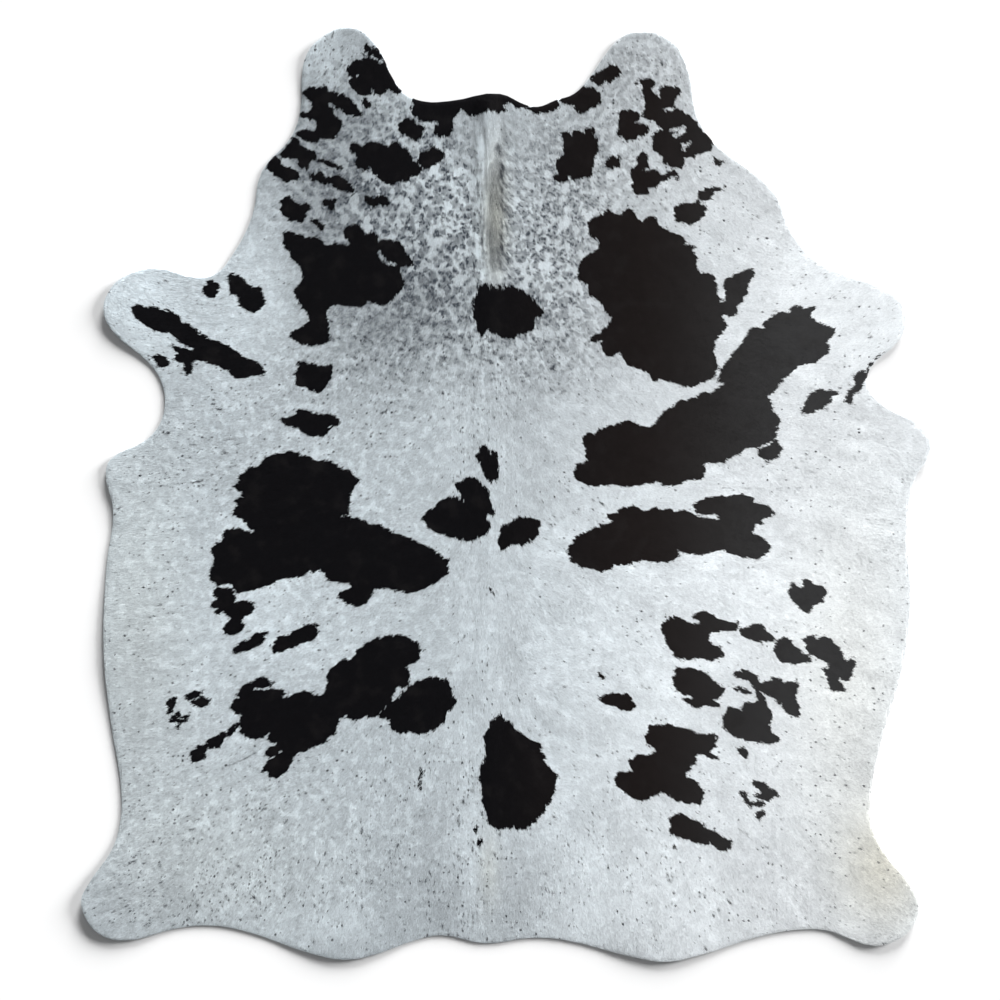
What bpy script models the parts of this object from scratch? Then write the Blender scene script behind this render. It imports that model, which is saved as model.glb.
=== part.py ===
"""A hair-on cowhide rug lying hair side up: one cured hide, its neck towards +Y and its spine along Y.

The hide is one open sheet, cut to its outline, raised a little where its flaps curl, and given the thickness
of skin and lying coat. Metres, +Z up, and the origin is on the floor under the middle of the outline's box.
"""

from collections import namedtuple

import bmesh
import bpy

MM = 0.001

# Thickness of skin and lying coat together
BODY_THICKNESS = 5.0 * MM
CUT_EDGE_THICKNESS = 2.5 * MM
EDGE_FALL_WIDTH = 14 * MM
THICKEST = 11.0 * MM

# The spine, and the mane that stands up along it on the neck
SPINE_ACROSS = -40 * MM
SPINE_HEIGHT = 0.8 * MM
SPINE_HALF_WIDTH = 40 * MM
MANE_HEIGHT = 5.0 * MM
MANE_FULL_ALONG = 760 * MM
MANE_END_ALONG = 420 * MM
MANE_LEFT_SLOPE = 42 * MM
MANE_RIGHT_SLOPE = 26 * MM

# The facets of the sheet
OUTLINE_STEPS = 4
GRID_STEP = 60 * MM
SPINE_CUTS = (-36 * MM, -16 * MM, 0.0, 11 * MM, 24 * MM)
LEAST_CUT = 0.5 * MM
WELD = 0.05 * MM

# The coat as one colour
COAT_COLOUR = (0.62, 0.65, 0.67, 1.0)
COAT_ROUGHNESS = 0.6

EdgePoint = namedtuple("EdgePoint", "across along")
Curl = namedtuple("Curl", "across along reach lift")

# The outline, clockwise seen from above, in millimetres right of the origin and towards the neck
NECK_FLAP_LEFT = (
    EdgePoint(across=-570, along=627),
    EdgePoint(across=-549, along=726),
    EdgePoint(across=-481, along=807),
    EdgePoint(across=-461, along=870),
    EdgePoint(across=-459, along=933),
    EdgePoint(across=-450, along=984),
    EdgePoint(across=-423, along=1020),
    EdgePoint(across=-349, along=1050),
    EdgePoint(across=-292, along=1009),
    EdgePoint(across=-250, along=928),
)
NECK_BAY = (
    EdgePoint(across=-223, along=899),
    EdgePoint(across=-184, along=884),
    EdgePoint(across=-126, along=885),
    EdgePoint(across=-13, along=901),
    EdgePoint(across=45, along=876),
    EdgePoint(across=72, along=872),
    EdgePoint(across=112, along=887),
    EdgePoint(across=153, along=901),
    EdgePoint(across=189, along=939),
)
NECK_FLAP_RIGHT = (
    EdgePoint(across=225, along=991),
    EdgePoint(across=256, along=1025),
    EdgePoint(across=297, along=1041),
    EdgePoint(across=373, along=1018),
    EdgePoint(across=412, along=944),
    EdgePoint(across=421, along=883),
    EdgePoint(across=436, along=836),
    EdgePoint(across=468, along=791),
    EdgePoint(across=578, along=704),
    EdgePoint(across=612, along=663),
    EdgePoint(across=634, along=604),
)
FORELEG_RIGHT = (
    EdgePoint(across=664, along=557),
    EdgePoint(across=711, along=516),
    EdgePoint(across=841, along=465),
    EdgePoint(across=882, along=438),
    EdgePoint(across=900, along=395),
    EdgePoint(across=884, along=348),
    EdgePoint(across=817, along=280),
    EdgePoint(across=814, along=244),
    EdgePoint(across=841, along=206),
)
FLANK_RIGHT = (
    EdgePoint(across=938, along=147),
    EdgePoint(across=954, along=116),
    EdgePoint(across=947, along=82),
    EdgePoint(across=919, along=35),
    EdgePoint(across=903, along=-80),
    EdgePoint(across=910, along=-240),
    EdgePoint(across=895, along=-377),
    EdgePoint(across=841, along=-568),
    EdgePoint(across=823, along=-660),
    EdgePoint(across=823, along=-746),
)
HINDLEG_RIGHT = (
    EdgePoint(across=844, along=-798),
    EdgePoint(across=913, along=-888),
    EdgePoint(across=927, along=-930),
    EdgePoint(across=913, along=-971),
    EdgePoint(across=877, along=-1002),
    EdgePoint(across=823, along=-1014),
    EdgePoint(across=765, along=-996),
    EdgePoint(across=720, along=-980),
    EdgePoint(across=668, along=-978),
)
RUMP = (
    EdgePoint(across=583, along=-991),
    EdgePoint(across=430, along=-1037),
    EdgePoint(across=362, along=-1050),
    EdgePoint(across=301, along=-1043),
    EdgePoint(across=121, along=-1000),
    EdgePoint(across=54, along=-997),
    EdgePoint(across=-47, along=-1009),
    EdgePoint(across=-144, along=-991),
    EdgePoint(across=-189, along=-998),
    EdgePoint(across=-313, along=-1039),
    EdgePoint(across=-367, along=-1045),
    EdgePoint(across=-430, along=-1034),
    EdgePoint(across=-598, along=-979),
)
HINDLEG_LEFT = (
    EdgePoint(across=-670, along=-969),
    EdgePoint(across=-738, along=-975),
    EdgePoint(across=-864, along=-1002),
    EdgePoint(across=-918, along=-984),
    EdgePoint(across=-947, along=-944),
    EdgePoint(across=-954, along=-912),
    EdgePoint(across=-940, along=-879),
    EdgePoint(across=-884, along=-795),
    EdgePoint(across=-868, along=-741),
)
FLANK_LEFT = (
    EdgePoint(across=-864, along=-681),
    EdgePoint(across=-889, along=-507),
    EdgePoint(across=-904, along=-360),
    EdgePoint(across=-898, along=-159),
    EdgePoint(across=-883, along=-35),
    EdgePoint(across=-899, along=53),
    EdgePoint(across=-889, along=78),
    EdgePoint(across=-808, along=123),
    EdgePoint(across=-778, along=159),
)
FORELEG_LEFT = (
    EdgePoint(across=-767, along=204),
    EdgePoint(across=-774, along=251),
    EdgePoint(across=-801, along=294),
    EdgePoint(across=-886, along=370),
    EdgePoint(across=-904, along=413),
    EdgePoint(across=-895, along=451),
    EdgePoint(across=-862, along=487),
    EdgePoint(across=-784, along=508),
    EdgePoint(across=-688, along=487),
    EdgePoint(across=-650, along=497),
    EdgePoint(across=-619, along=532),
)
OUTLINE = (
    NECK_FLAP_LEFT
    + NECK_BAY
    + NECK_FLAP_RIGHT
    + FORELEG_RIGHT
    + FLANK_RIGHT
    + HINDLEG_RIGHT
    + RUMP
    + HINDLEG_LEFT
    + FLANK_LEFT
    + FORELEG_LEFT
)

# Where the stiff hide curls off the floor at its edge, in millimetres
CURLS = (
    Curl(across=-385, along=1060, reach=190, lift=7),
    Curl(across=320, along=1060, reach=170, lift=5),
    Curl(across=-925, along=440, reach=210, lift=8),
    Curl(across=915, along=420, reach=190, lift=6),
    Curl(across=-915, along=50, reach=150, lift=5),
    Curl(across=965, along=105, reach=150, lift=6),
    Curl(across=-910, along=-350, reach=200, lift=4),
    Curl(across=-965, along=-930, reach=230, lift=9),
    Curl(across=935, along=-960, reach=220, lift=8),
    Curl(across=-370, along=-1060, reach=170, lift=5),
    Curl(across=360, along=-1060, reach=180, lift=5),
)


def clear_scene():
    """Leave an empty scene."""
    for old in list(bpy.data.objects):
        bpy.data.objects.remove(old, do_unlink=True)


def smooth_step(value):
    """0 up to 0, 1 from 1, with a soft start and end."""
    held = min(max(value, 0.0), 1.0)
    return held * held * (3.0 - 2.0 * held)


def floor_gap(across, along):
    """How far the underside is off the floor: nothing but under a curl, where the highest curl counts."""
    gap = 0.0
    for curl in CURLS:
        away_across = across - curl.across * MM
        away_along = along - curl.along * MM
        nearness = 1.0 - (away_across**2 + away_along**2) / (curl.reach * MM) ** 2
        if nearness > 0.0:
            gap = max(gap, curl.lift * MM * nearness**2)
    return gap


def ridge_height(across, along):
    """The coat's extra height along the spine: a low line, and on the neck the standing mane."""
    beside = across - SPINE_ACROSS
    mane_slope = MANE_LEFT_SLOPE if beside < 0.0 else MANE_RIGHT_SLOPE
    mane_reach = smooth_step((along - MANE_END_ALONG) / (MANE_FULL_ALONG - MANE_END_ALONG))
    mane = MANE_HEIGHT * mane_reach * smooth_step(1.0 - abs(beside) / mane_slope)
    line = SPINE_HEIGHT * smooth_step(1.0 - abs(beside) / SPINE_HALF_WIDTH)
    return max(mane, line)


def thickness_at(vert):
    """Skin and coat together at a point of the sheet, thinnest at the cut edge."""
    if vert.is_boundary:
        return CUT_EDGE_THICKNESS
    return min(BODY_THICKNESS + ridge_height(vert.co.x, vert.co.y), THICKEST)


def outline_mesh():
    """The flat outline, as the filled mesh of a smooth closed curve."""
    curve = bpy.data.curves.new("hide_outline", "CURVE")
    curve.dimensions = "2D"
    curve.fill_mode = "BOTH"
    spline = curve.splines.new("BEZIER")
    spline.bezier_points.add(len(OUTLINE) - 1)
    spline.use_cyclic_u = True
    spline.resolution_u = OUTLINE_STEPS
    for knot, place in zip(spline.bezier_points, OUTLINE, strict=True):
        knot.co = (place.across * MM, place.along * MM, 0.0)
        knot.handle_left_type = "AUTO"
        knot.handle_right_type = "AUTO"
    guide = bpy.data.objects.new("hide_outline", curve)
    bpy.context.scene.collection.objects.link(guide)
    evaluated = guide.evaluated_get(bpy.context.evaluated_depsgraph_get())
    mesh = bpy.data.meshes.new_from_object(evaluated)
    bpy.data.objects.remove(guide, do_unlink=True)
    bpy.data.curves.remove(curve)
    return mesh


def grid_cuts(low, high, step):
    """Evenly spaced cuts between two ends, about step apart."""
    count = round((high - low) / step)
    return [low + (high - low) * (i + 1) / count for i in range(count - 1)]


def cut_across(sheet, edge_band, place, direction):
    """Cut the sheet inside its edge band along a line square to direction."""
    inner = [face for face in sheet.faces if face not in edge_band]
    edges = dict.fromkeys(edge for face in inner for edge in face.edges)
    verts = dict.fromkeys(vert for face in inner for vert in face.verts)
    bmesh.ops.bisect_plane(
        sheet,
        geom=inner + list(edges) + list(verts),
        dist=LEAST_CUT,
        plane_co=place,
        plane_no=direction,
    )


def cut_sheet(mesh):
    """The flat hide: one face with the outline, an edge band inside it, and a grid inside that."""
    sheet = bmesh.new()
    sheet.from_mesh(mesh)
    bmesh.ops.remove_doubles(sheet, verts=sheet.verts, dist=WELD)
    inside = [edge for edge in sheet.edges if not edge.is_boundary]
    bmesh.ops.dissolve_edges(sheet, edges=inside, use_verts=False)
    facing_down = [face for face in sheet.faces if face.normal.z < 0.0]
    bmesh.ops.reverse_faces(sheet, faces=facing_down)
    band = bmesh.ops.inset_region(
        sheet,
        faces=list(sheet.faces),
        thickness=EDGE_FALL_WIDTH,
        use_boundary=True,
        use_even_offset=True,
    )
    edge_band = set(band["faces"])
    across = [vert.co.x for vert in sheet.verts]
    along = [vert.co.y for vert in sheet.verts]
    spine_lines = [SPINE_ACROSS + offset for offset in SPINE_CUTS]
    side_lines = [
        x
        for x in grid_cuts(min(across), max(across), GRID_STEP)
        if min(abs(x - line) for line in spine_lines) > GRID_STEP / 4
    ]
    for x in spine_lines + side_lines:
        cut_across(sheet, edge_band, (x, 0.0, 0.0), (1.0, 0.0, 0.0))
    for y in grid_cuts(min(along), max(along), GRID_STEP):
        cut_across(sheet, edge_band, (0.0, y, 0.0), (0.0, 1.0, 0.0))
    return sheet


def hide_material():
    """The pale coat as one plain colour."""
    material = bpy.data.materials.new("hair_on_hide")
    material.use_nodes = True
    shader = material.node_tree.nodes["Principled BSDF"]
    shader.inputs["Base Color"].default_value = COAT_COLOUR
    shader.inputs["Roughness"].default_value = COAT_ROUGHNESS
    shader.inputs["Metallic"].default_value = 0.0
    return material


def make_hide(collection):
    """The hide: the cut sheet, curled, with its thickness grown upwards by Solidify."""
    mesh = outline_mesh()
    sheet = cut_sheet(mesh)
    coat = sheet.verts.layers.deform.verify()
    for vert in sheet.verts:
        vert[coat][0] = thickness_at(vert) / THICKEST
        vert.co.z = floor_gap(vert.co.x, vert.co.y)
    sheet.to_mesh(mesh)
    sheet.free()
    mesh.name = "hide"
    mesh.materials.append(hide_material())
    hide = bpy.data.objects.new("hide", mesh)
    collection.objects.link(hide)
    hide.vertex_groups.new(name="coat")
    body = hide.modifiers.new("body", "SOLIDIFY")
    body.thickness = THICKEST
    body.offset = 1.0
    body.vertex_group = "coat"
    return hide


def main():
    clear_scene()
    collection = bpy.data.collections.new("cowhide_rug")
    bpy.context.scene.collection.children.link(collection)
    make_hide(collection)


main()
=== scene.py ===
# %% [markdown]
# # A hair-on cowhide rug, seen from straight above
# The real rug is one cured hide: a thin sheet of leather with the short coat still on it, cut to the natural
# outline of the animal and laid flat. In Blender it could be a plain sheet with a painted material, or a
# sheet under real hairs. Here it is both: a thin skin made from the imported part, with about 800 000 small
# lying hairs as joined meshes, so that the coat catches the light the way combed hair does.

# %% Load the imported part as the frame
import math
from collections import namedtuple

import bmesh
import bpy
import numpy as np
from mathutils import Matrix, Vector
from mathutils.bvhtree import BVHTree


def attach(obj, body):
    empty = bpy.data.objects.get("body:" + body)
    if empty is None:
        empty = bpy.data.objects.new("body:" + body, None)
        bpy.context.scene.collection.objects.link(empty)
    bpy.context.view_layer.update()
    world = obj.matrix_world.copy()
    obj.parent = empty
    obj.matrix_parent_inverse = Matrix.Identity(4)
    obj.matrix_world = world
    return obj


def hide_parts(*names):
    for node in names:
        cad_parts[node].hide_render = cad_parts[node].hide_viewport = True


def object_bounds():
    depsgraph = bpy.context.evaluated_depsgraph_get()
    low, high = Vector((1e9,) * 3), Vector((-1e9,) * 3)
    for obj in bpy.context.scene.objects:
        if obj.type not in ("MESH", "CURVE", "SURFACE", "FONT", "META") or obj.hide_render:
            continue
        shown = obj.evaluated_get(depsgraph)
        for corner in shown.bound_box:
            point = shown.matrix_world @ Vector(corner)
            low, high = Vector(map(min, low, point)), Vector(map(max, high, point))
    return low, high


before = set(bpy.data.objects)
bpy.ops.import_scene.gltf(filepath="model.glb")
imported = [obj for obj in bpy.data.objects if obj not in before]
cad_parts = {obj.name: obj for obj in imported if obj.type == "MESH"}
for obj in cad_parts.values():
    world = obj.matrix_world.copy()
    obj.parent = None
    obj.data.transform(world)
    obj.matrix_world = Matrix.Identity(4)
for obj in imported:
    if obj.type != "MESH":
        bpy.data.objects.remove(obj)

CAD_BOX = [[float(x) for x in corner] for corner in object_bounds()]
MM = 0.001
print("the packed hide measures", [round((b - a) / MM, 1) for a, b in zip(*CAD_BOX)], "mm")

# %% [markdown]
# ## The camera
# The hide is photographed from directly above, as a flat-lay. A long lens from high up keeps the sides from
# leaning away, and it sees 2.25 m of floor across the picture.

# %% Camera straight above
CAMERA_HEIGHT = 6.25
CAMERA_MIDDLE = (-13.5 * MM, -12.4 * MM)
CAMERA_LENS = 100
CAMERA_SENSOR = 36
CAMERA_FARTHEST = 200


def new_object(name, data):
    """A new object with that data, linked to the scene."""
    made = bpy.data.objects.new(name, data)
    bpy.context.scene.collection.objects.link(made)
    return made


camera = new_object("camera_above", bpy.data.cameras.new("camera_above"))
camera.data.lens = CAMERA_LENS
camera.data.sensor_width = CAMERA_SENSOR
camera.data.clip_end = CAMERA_FARTHEST
camera.location = (*CAMERA_MIDDLE, CAMERA_HEIGHT)
bpy.context.scene.camera = camera
print("the camera sees", CAMERA_HEIGHT * CAMERA_SENSOR / CAMERA_LENS, "m across")

# %% [markdown]
# ## The floor
# A sheet of white studio paper is wide and dull, so one large square with a rough, pale material does.

# %% White studio floor
FLOOR_SIZE = 60
FLOOR_WHITE = (0.80, 0.80, 0.80, 1)
FLOOR_ROUGHNESS = 0.9
FLOOR_SHINE = 0.1


def new_material(name):
    """A new material, with its node tree and its shader."""
    material = bpy.data.materials.new(name)
    material.use_nodes = True
    return material, material.node_tree, material.node_tree.nodes["Principled BSDF"]


floor_form = bmesh.new()
bmesh.ops.create_grid(floor_form, x_segments=1, y_segments=1, size=FLOOR_SIZE / 2)
floor_mesh = bpy.data.meshes.new("studio_floor")
floor_form.to_mesh(floor_mesh)
floor_form.free()
floor = new_object("studio_floor", floor_mesh)
floor_paint, _, floor_shader = new_material("studio_white")
floor_shader.inputs["Base Color"].default_value = FLOOR_WHITE
floor_shader.inputs["Roughness"].default_value = FLOOR_ROUGHNESS
floor_shader.inputs["Specular IOR Level"].default_value = FLOOR_SHINE
floor_mesh.materials.append(floor_paint)
print("the floor is", FLOOR_SIZE, "m wide")

# %% [markdown]
# ## The key light
# A wide bank of light stands low at the upper right. Because it is low, the edge of the hide throws a soft
# shadow on the floor to the lower left, darkest at the hide's foot. An area light would brighten the near
# side too much, so two suns with broad discs stand for the two halves of the bank.

# %% The two halves of the key light
KEY_STRENGTH = 7.9
KEY_ELEVATION = math.radians(12.5)
KEY_SIDES = (math.radians(26), math.radians(73))
KEY_SOFTNESS = math.radians(23)

for number, key_side in enumerate(KEY_SIDES, 1):
    key = new_object(f"key_light_{number}", bpy.data.lights.new(f"key_light_{number}", "SUN"))
    key.data.energy = KEY_STRENGTH
    key.data.angle = KEY_SOFTNESS
    key_from = Vector((
        math.cos(KEY_ELEVATION) * math.cos(key_side),
        math.cos(KEY_ELEVATION) * math.sin(key_side),
        math.sin(KEY_ELEVATION),
    ))
    key.rotation_euler = key_from.to_track_quat("Z", "Y").to_euler()
print("the key comes in at", round(math.degrees(KEY_ELEVATION), 1), "degrees above the floor")

# %% [markdown]
# ## The room
# The rest of the studio is dim, and its light fills the shadows only a little. Behind the floor the camera
# should still see a pale wall, so the world has two backgrounds, and a Light Path node shows the paler one to
# the camera alone.

# %% A dim room with a pale wall
ROOM_WHITE = (0.97, 0.985, 1.0, 1)
ROOM_STRENGTH = 0.21
WALL_STRENGTH = 0.95

room = bpy.data.worlds.new("pale_room")
room.use_nodes = True
room_nodes, room_links = room.node_tree.nodes, room.node_tree.links
room_mix = room_nodes.new("ShaderNodeMixShader")
room_light, room_wall = room_nodes["Background"], room_nodes.new("ShaderNodeBackground")
for number, (background, strength) in enumerate(((room_light, ROOM_STRENGTH), (room_wall, WALL_STRENGTH)), 1):
    background.inputs["Color"].default_value = ROOM_WHITE
    background.inputs["Strength"].default_value = strength
    room_links.new(background.outputs[0], room_mix.inputs[number])
room_links.new(room_nodes.new("ShaderNodeLightPath").outputs["Is Camera Ray"], room_mix.inputs[0])
room_links.new(room_mix.outputs[0], room_nodes["World Output"].inputs["Surface"])
bpy.context.scene.world = room
bpy.context.scene.view_settings.view_transform = "Standard"
print("the room lights with", ROOM_STRENGTH, "and is seen at", WALL_STRENGTH)

# %% [markdown]
# ## The chart
# The markings of a hide follow no rule, so they are drawn one by one. The hide is thought of as lying on a
# chart with squares of 2.25 mm, columns counted from the left and rows from the top, and each patch is a ring
# of points (column, row) noted and rounded to whole squares. Curves through the points soften them again.

# %% From chart squares to metres
CHART_SQUARE = 2.25 * MM
CHART_MIDDLE_COLUMN = 506
CHART_MIDDLE_ROW = 494.5


def chart_to_metres(points):
    """Places on the hide, in metres across and along, of points on the chart."""
    places = np.array(points, float)
    across = (places[..., 0] - CHART_MIDDLE_COLUMN) * CHART_SQUARE
    along = (CHART_MIDDLE_ROW - places[..., 1]) * CHART_SQUARE
    return np.stack([across, along], axis=-1)


print("the chart's first corner is at", chart_to_metres([(0, 0)])[0], "m")

# %% [markdown]
# ## Patches of the neck and the cheeks

# %% Patches left of the neck
NECK_LEFT = [
    [(366, 44), (378, 50), (383, 59), (387, 70), (393, 78), (397, 86), (402, 92), (398, 94), (389, 91),
     (385, 93), (380, 96), (372, 94), (363, 96), (356, 93), (351, 87), (348, 82), (352, 78), (348, 74),
     (347, 69), (351, 66), (355, 61), (363, 60), (362, 55), (365, 51)],
    [(364, 98), (368, 101), (371, 104), (371, 108), (368, 109), (364, 106), (362, 103)],
    [(302, 92), (311, 88), (323, 87), (328, 88), (329, 92), (334, 93), (347, 96), (352, 101), (356, 106),
     (361, 112), (362, 116), (356, 117), (350, 116), (342, 112), (337, 108), (335, 111), (337, 118),
     (341, 121), (344, 126), (340, 130), (338, 136), (335, 140), (327, 140), (320, 138), (317, 143),
     (314, 143), (306, 141), (296, 136), (294, 134), (302, 130), (309, 130), (314, 132), (316, 129),
     (315, 121), (308, 120), (301, 117), (302, 113), (308, 111), (311, 107), (310, 102), (305, 96)],
    [(290, 138), (297, 139), (301, 143), (306, 149), (312, 150), (316, 153), (317, 157), (316, 160),
     (310, 163), (309, 167), (304, 169), (300, 168), (298, 165), (299, 160), (294, 158), (289, 159),
     (283, 158), (279, 155), (283, 151), (286, 146), (290, 141)],
    [(318, 160), (324, 159), (332, 162), (338, 165), (342, 166), (342, 169), (337, 169), (326, 166),
     (322, 164)],
    [(267, 167), (272, 160), (276, 157), (281, 161), (284, 166), (290, 168), (297, 171), (299, 175),
     (297, 180), (291, 180), (288, 183), (283, 181), (278, 177), (272, 174)],
    [(311, 175), (318, 173), (320, 169), (322, 173), (326, 176), (331, 177), (336, 176), (342, 177),
     (348, 181), (351, 186), (355, 191), (354, 195), (350, 195), (344, 191), (338, 190), (333, 186),
     (331, 183), (324, 184), (318, 182), (312, 180)],
    [(280, 201), (285, 198), (290, 197), (294, 200), (298, 205), (303, 205), (306, 203), (310, 205),
     (311, 209), (306, 212), (305, 216), (303, 222), (298, 222), (292, 222), (284, 216), (280, 212),
     (282, 206)],
    [(322, 200), (326, 199), (332, 200), (335, 198), (339, 200), (338, 203), (334, 203), (335, 207),
     (332, 211), (328, 208), (325, 206), (323, 203)],
    [(365, 196), (370, 196), (374, 199), (380, 196), (386, 197), (389, 202), (387, 207), (376, 205),
     (373, 207), (369, 205), (366, 201)],
    [(311, 219), (316, 220), (321, 223), (325, 226), (323, 231), (319, 230), (316, 225), (312, 222)],
]
print(len(NECK_LEFT), "patches left of the neck")

# %% Patches across the top of the neck
NECK_TOP = [
    [(349, 145), (355, 143), (363, 146), (366, 142), (379, 143), (389, 145), (397, 141), (399, 145),
     (404, 148), (410, 151), (411, 156), (416, 161), (422, 167), (421, 171), (418, 175), (413, 177),
     (406, 183), (400, 182), (391, 185), (384, 183), (379, 179), (373, 174), (370, 169), (367, 173),
     (362, 171), (356, 167), (355, 162), (359, 159), (356, 155), (351, 153)],
    [(419, 157), (421, 152), (427, 150), (433, 146), (437, 150), (443, 152), (444, 156), (442, 160),
     (435, 165), (429, 167), (424, 169), (421, 165)],
    [(398, 125), (402, 121), (408, 119), (414, 120), (419, 124), (425, 127), (423, 133), (421, 138),
     (416, 141), (410, 138), (403, 135), (399, 130)],
    [(412, 92), (426, 97), (443, 97), (462, 93), (483, 88), (500, 88), (513, 91), (524, 98), (528, 105),
     (523, 107), (517, 108), (512, 104), (506, 103), (505, 107), (509, 110), (502, 113), (490, 111),
     (479, 114), (471, 116), (466, 113), (462, 110), (458, 114), (453, 119), (453, 126), (450, 136),
     (445, 138), (438, 136), (433, 133), (435, 127), (432, 123), (419, 123), (418, 119), (413, 116),
     (411, 109), (414, 105)],
    [(533, 111), (534, 106), (547, 101), (557, 98), (558, 109), (549, 112), (541, 113), (534, 113)],
]
print(len(NECK_TOP), "patches across the top of the neck")

# %% Patches right of the neck
NECK_RIGHT = [
    [(592, 77), (597, 73), (602, 70), (607, 68), (609, 64), (614, 66), (618, 66), (619, 70), (621, 74),
     (620, 77), (615, 78), (611, 83), (608, 84), (605, 81), (601, 85), (597, 84), (592, 81)],
    [(560, 100), (568, 94), (575, 90), (580, 86), (586, 87), (592, 88), (597, 92), (601, 96), (600, 103),
     (596, 107), (586, 111), (583, 115), (579, 112), (575, 108), (573, 105), (562, 104)],
    [(562, 138), (562, 133), (567, 132), (570, 135), (573, 136), (573, 132), (578, 131), (584, 133),
     (587, 128), (592, 128), (596, 132), (594, 136), (598, 140), (598, 152), (596, 157), (594, 164),
     (592, 169), (593, 174), (591, 177), (578, 179), (572, 180), (569, 175), (566, 182), (560, 182),
     (555, 179), (555, 175), (559, 174), (555, 167), (556, 161), (561, 157), (564, 153), (563, 146),
     (565, 141)],
    [(605, 165), (608, 160), (614, 156), (618, 158), (623, 157), (624, 160), (620, 162), (619, 167),
     (609, 169), (606, 168)],
    [(620, 112), (625, 110), (632, 110), (637, 112), (640, 115), (639, 119), (635, 123), (640, 124),
     (647, 124), (650, 127), (649, 133), (645, 136), (638, 137), (632, 141), (626, 139), (617, 134),
     (620, 129), (618, 124)],
    [(640, 81), (645, 79), (650, 79), (654, 84), (651, 87), (646, 86), (641, 85)],
    [(642, 90), (647, 87), (651, 89), (653, 93), (657, 96), (659, 90), (664, 87), (671, 87), (679, 88),
     (680, 92), (677, 97), (674, 104), (670, 108), (665, 109), (664, 112), (669, 112), (677, 110),
     (683, 111), (688, 116), (693, 120), (697, 122), (699, 126), (703, 132), (709, 136), (712, 143),
     (711, 151), (705, 152), (699, 154), (693, 157), (685, 159), (683, 167), (678, 168), (670, 166),
     (663, 164), (662, 158), (653, 151), (652, 146), (653, 140), (652, 136), (656, 132), (664, 130),
     (657, 125), (655, 122), (650, 121), (645, 119), (641, 115), (645, 110), (646, 104), (644, 97)],
    [(638, 156), (641, 153), (646, 155), (648, 161), (648, 167), (643, 170), (649, 172), (656, 171),
     (658, 174), (664, 176), (669, 172), (676, 171), (679, 173), (678, 176), (671, 177), (664, 181),
     (658, 184), (655, 188), (649, 189), (647, 195), (640, 194), (636, 196), (633, 190), (631, 185),
     (633, 181), (630, 176), (631, 169), (635, 167), (637, 161)],
    [(713, 157), (717, 160), (725, 162), (722, 164), (720, 167), (716, 166), (714, 163)],
    [(725, 187), (718, 186), (711, 188), (704, 189), (700, 191), (697, 196), (698, 199), (694, 203),
     (687, 203), (681, 205), (675, 208), (673, 216), (677, 221), (685, 223), (690, 224), (698, 221),
     (703, 218), (706, 212), (706, 206), (701, 205), (701, 201), (711, 200), (711, 196), (716, 192),
     (722, 190)],
]
print(len(NECK_RIGHT), "patches right of the neck")

# %% [markdown]
# ## Patches of the shoulders and forelegs

# %% Patches of the left shoulder
SHOULDER_LEFT = [
    [(284, 234), (287, 232), (293, 233), (301, 236), (310, 238), (320, 239), (322, 242), (327, 247),
     (335, 244), (349, 246), (347, 240), (344, 235), (344, 230), (349, 226), (353, 224), (359, 226),
     (364, 231), (366, 234), (373, 233), (378, 236), (379, 241), (389, 239), (398, 242), (403, 246),
     (405, 251), (408, 256), (413, 261), (413, 266), (402, 266), (400, 269), (402, 277), (404, 283),
     (403, 289), (399, 293), (395, 298), (389, 302), (385, 306), (379, 305), (371, 303), (367, 300),
     (365, 304), (359, 307), (340, 305), (332, 306), (327, 310), (326, 315), (329, 324), (330, 338),
     (329, 342), (319, 345), (310, 346), (299, 343), (291, 338), (290, 336), (292, 333), (299, 329),
     (306, 324), (309, 319), (307, 314), (303, 309), (299, 304), (296, 296), (294, 290), (298, 286),
     (301, 282), (302, 273), (301, 267), (296, 263), (291, 259), (290, 252), (284, 249), (283, 244)],
    [(209, 281), (213, 280), (217, 284), (220, 288), (218, 293), (214, 299), (211, 297), (206, 294),
     (204, 288), (207, 285)],
    [(228, 277), (232, 274), (238, 274), (244, 278), (248, 284), (254, 287), (260, 288), (263, 295),
     (265, 304), (261, 307), (255, 313), (251, 312), (244, 309), (240, 305), (239, 299), (234, 295),
     (229, 292), (229, 286)],
    [(132, 307), (137, 305), (145, 306), (154, 307), (163, 310), (170, 311), (177, 315), (181, 318),
     (182, 323), (189, 324), (193, 328), (204, 335), (208, 339), (217, 340), (224, 343), (231, 348),
     (237, 352), (244, 357), (251, 359), (258, 363), (266, 371), (263, 375), (247, 377), (240, 378),
     (233, 375), (227, 370), (220, 368), (213, 364), (204, 362), (193, 363), (194, 369), (191, 372),
     (188, 375), (184, 370), (185, 365), (179, 361), (172, 359), (178, 355), (173, 348), (181, 348),
     (195, 351), (184, 344), (179, 342), (173, 336), (166, 332), (157, 332), (150, 328), (143, 323),
     (136, 319), (133, 310)],
    [(152, 355), (157, 354), (163, 356), (167, 358), (170, 362), (168, 366), (163, 368), (158, 367),
     (157, 363)],
    [(299, 362), (307, 363), (317, 365), (330, 364), (333, 369), (330, 378), (325, 387), (319, 393),
     (314, 391), (307, 388), (299, 386), (295, 383), (296, 378), (294, 373), (298, 369)],
    [(280, 420), (287, 418), (294, 416), (298, 410), (305, 410), (319, 414), (328, 414), (338, 418),
     (339, 424), (330, 428), (326, 434), (319, 437), (312, 436), (303, 433), (299, 429), (292, 428),
     (285, 424)],
]
print(len(SHOULDER_LEFT), "patches on the left shoulder")

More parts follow.
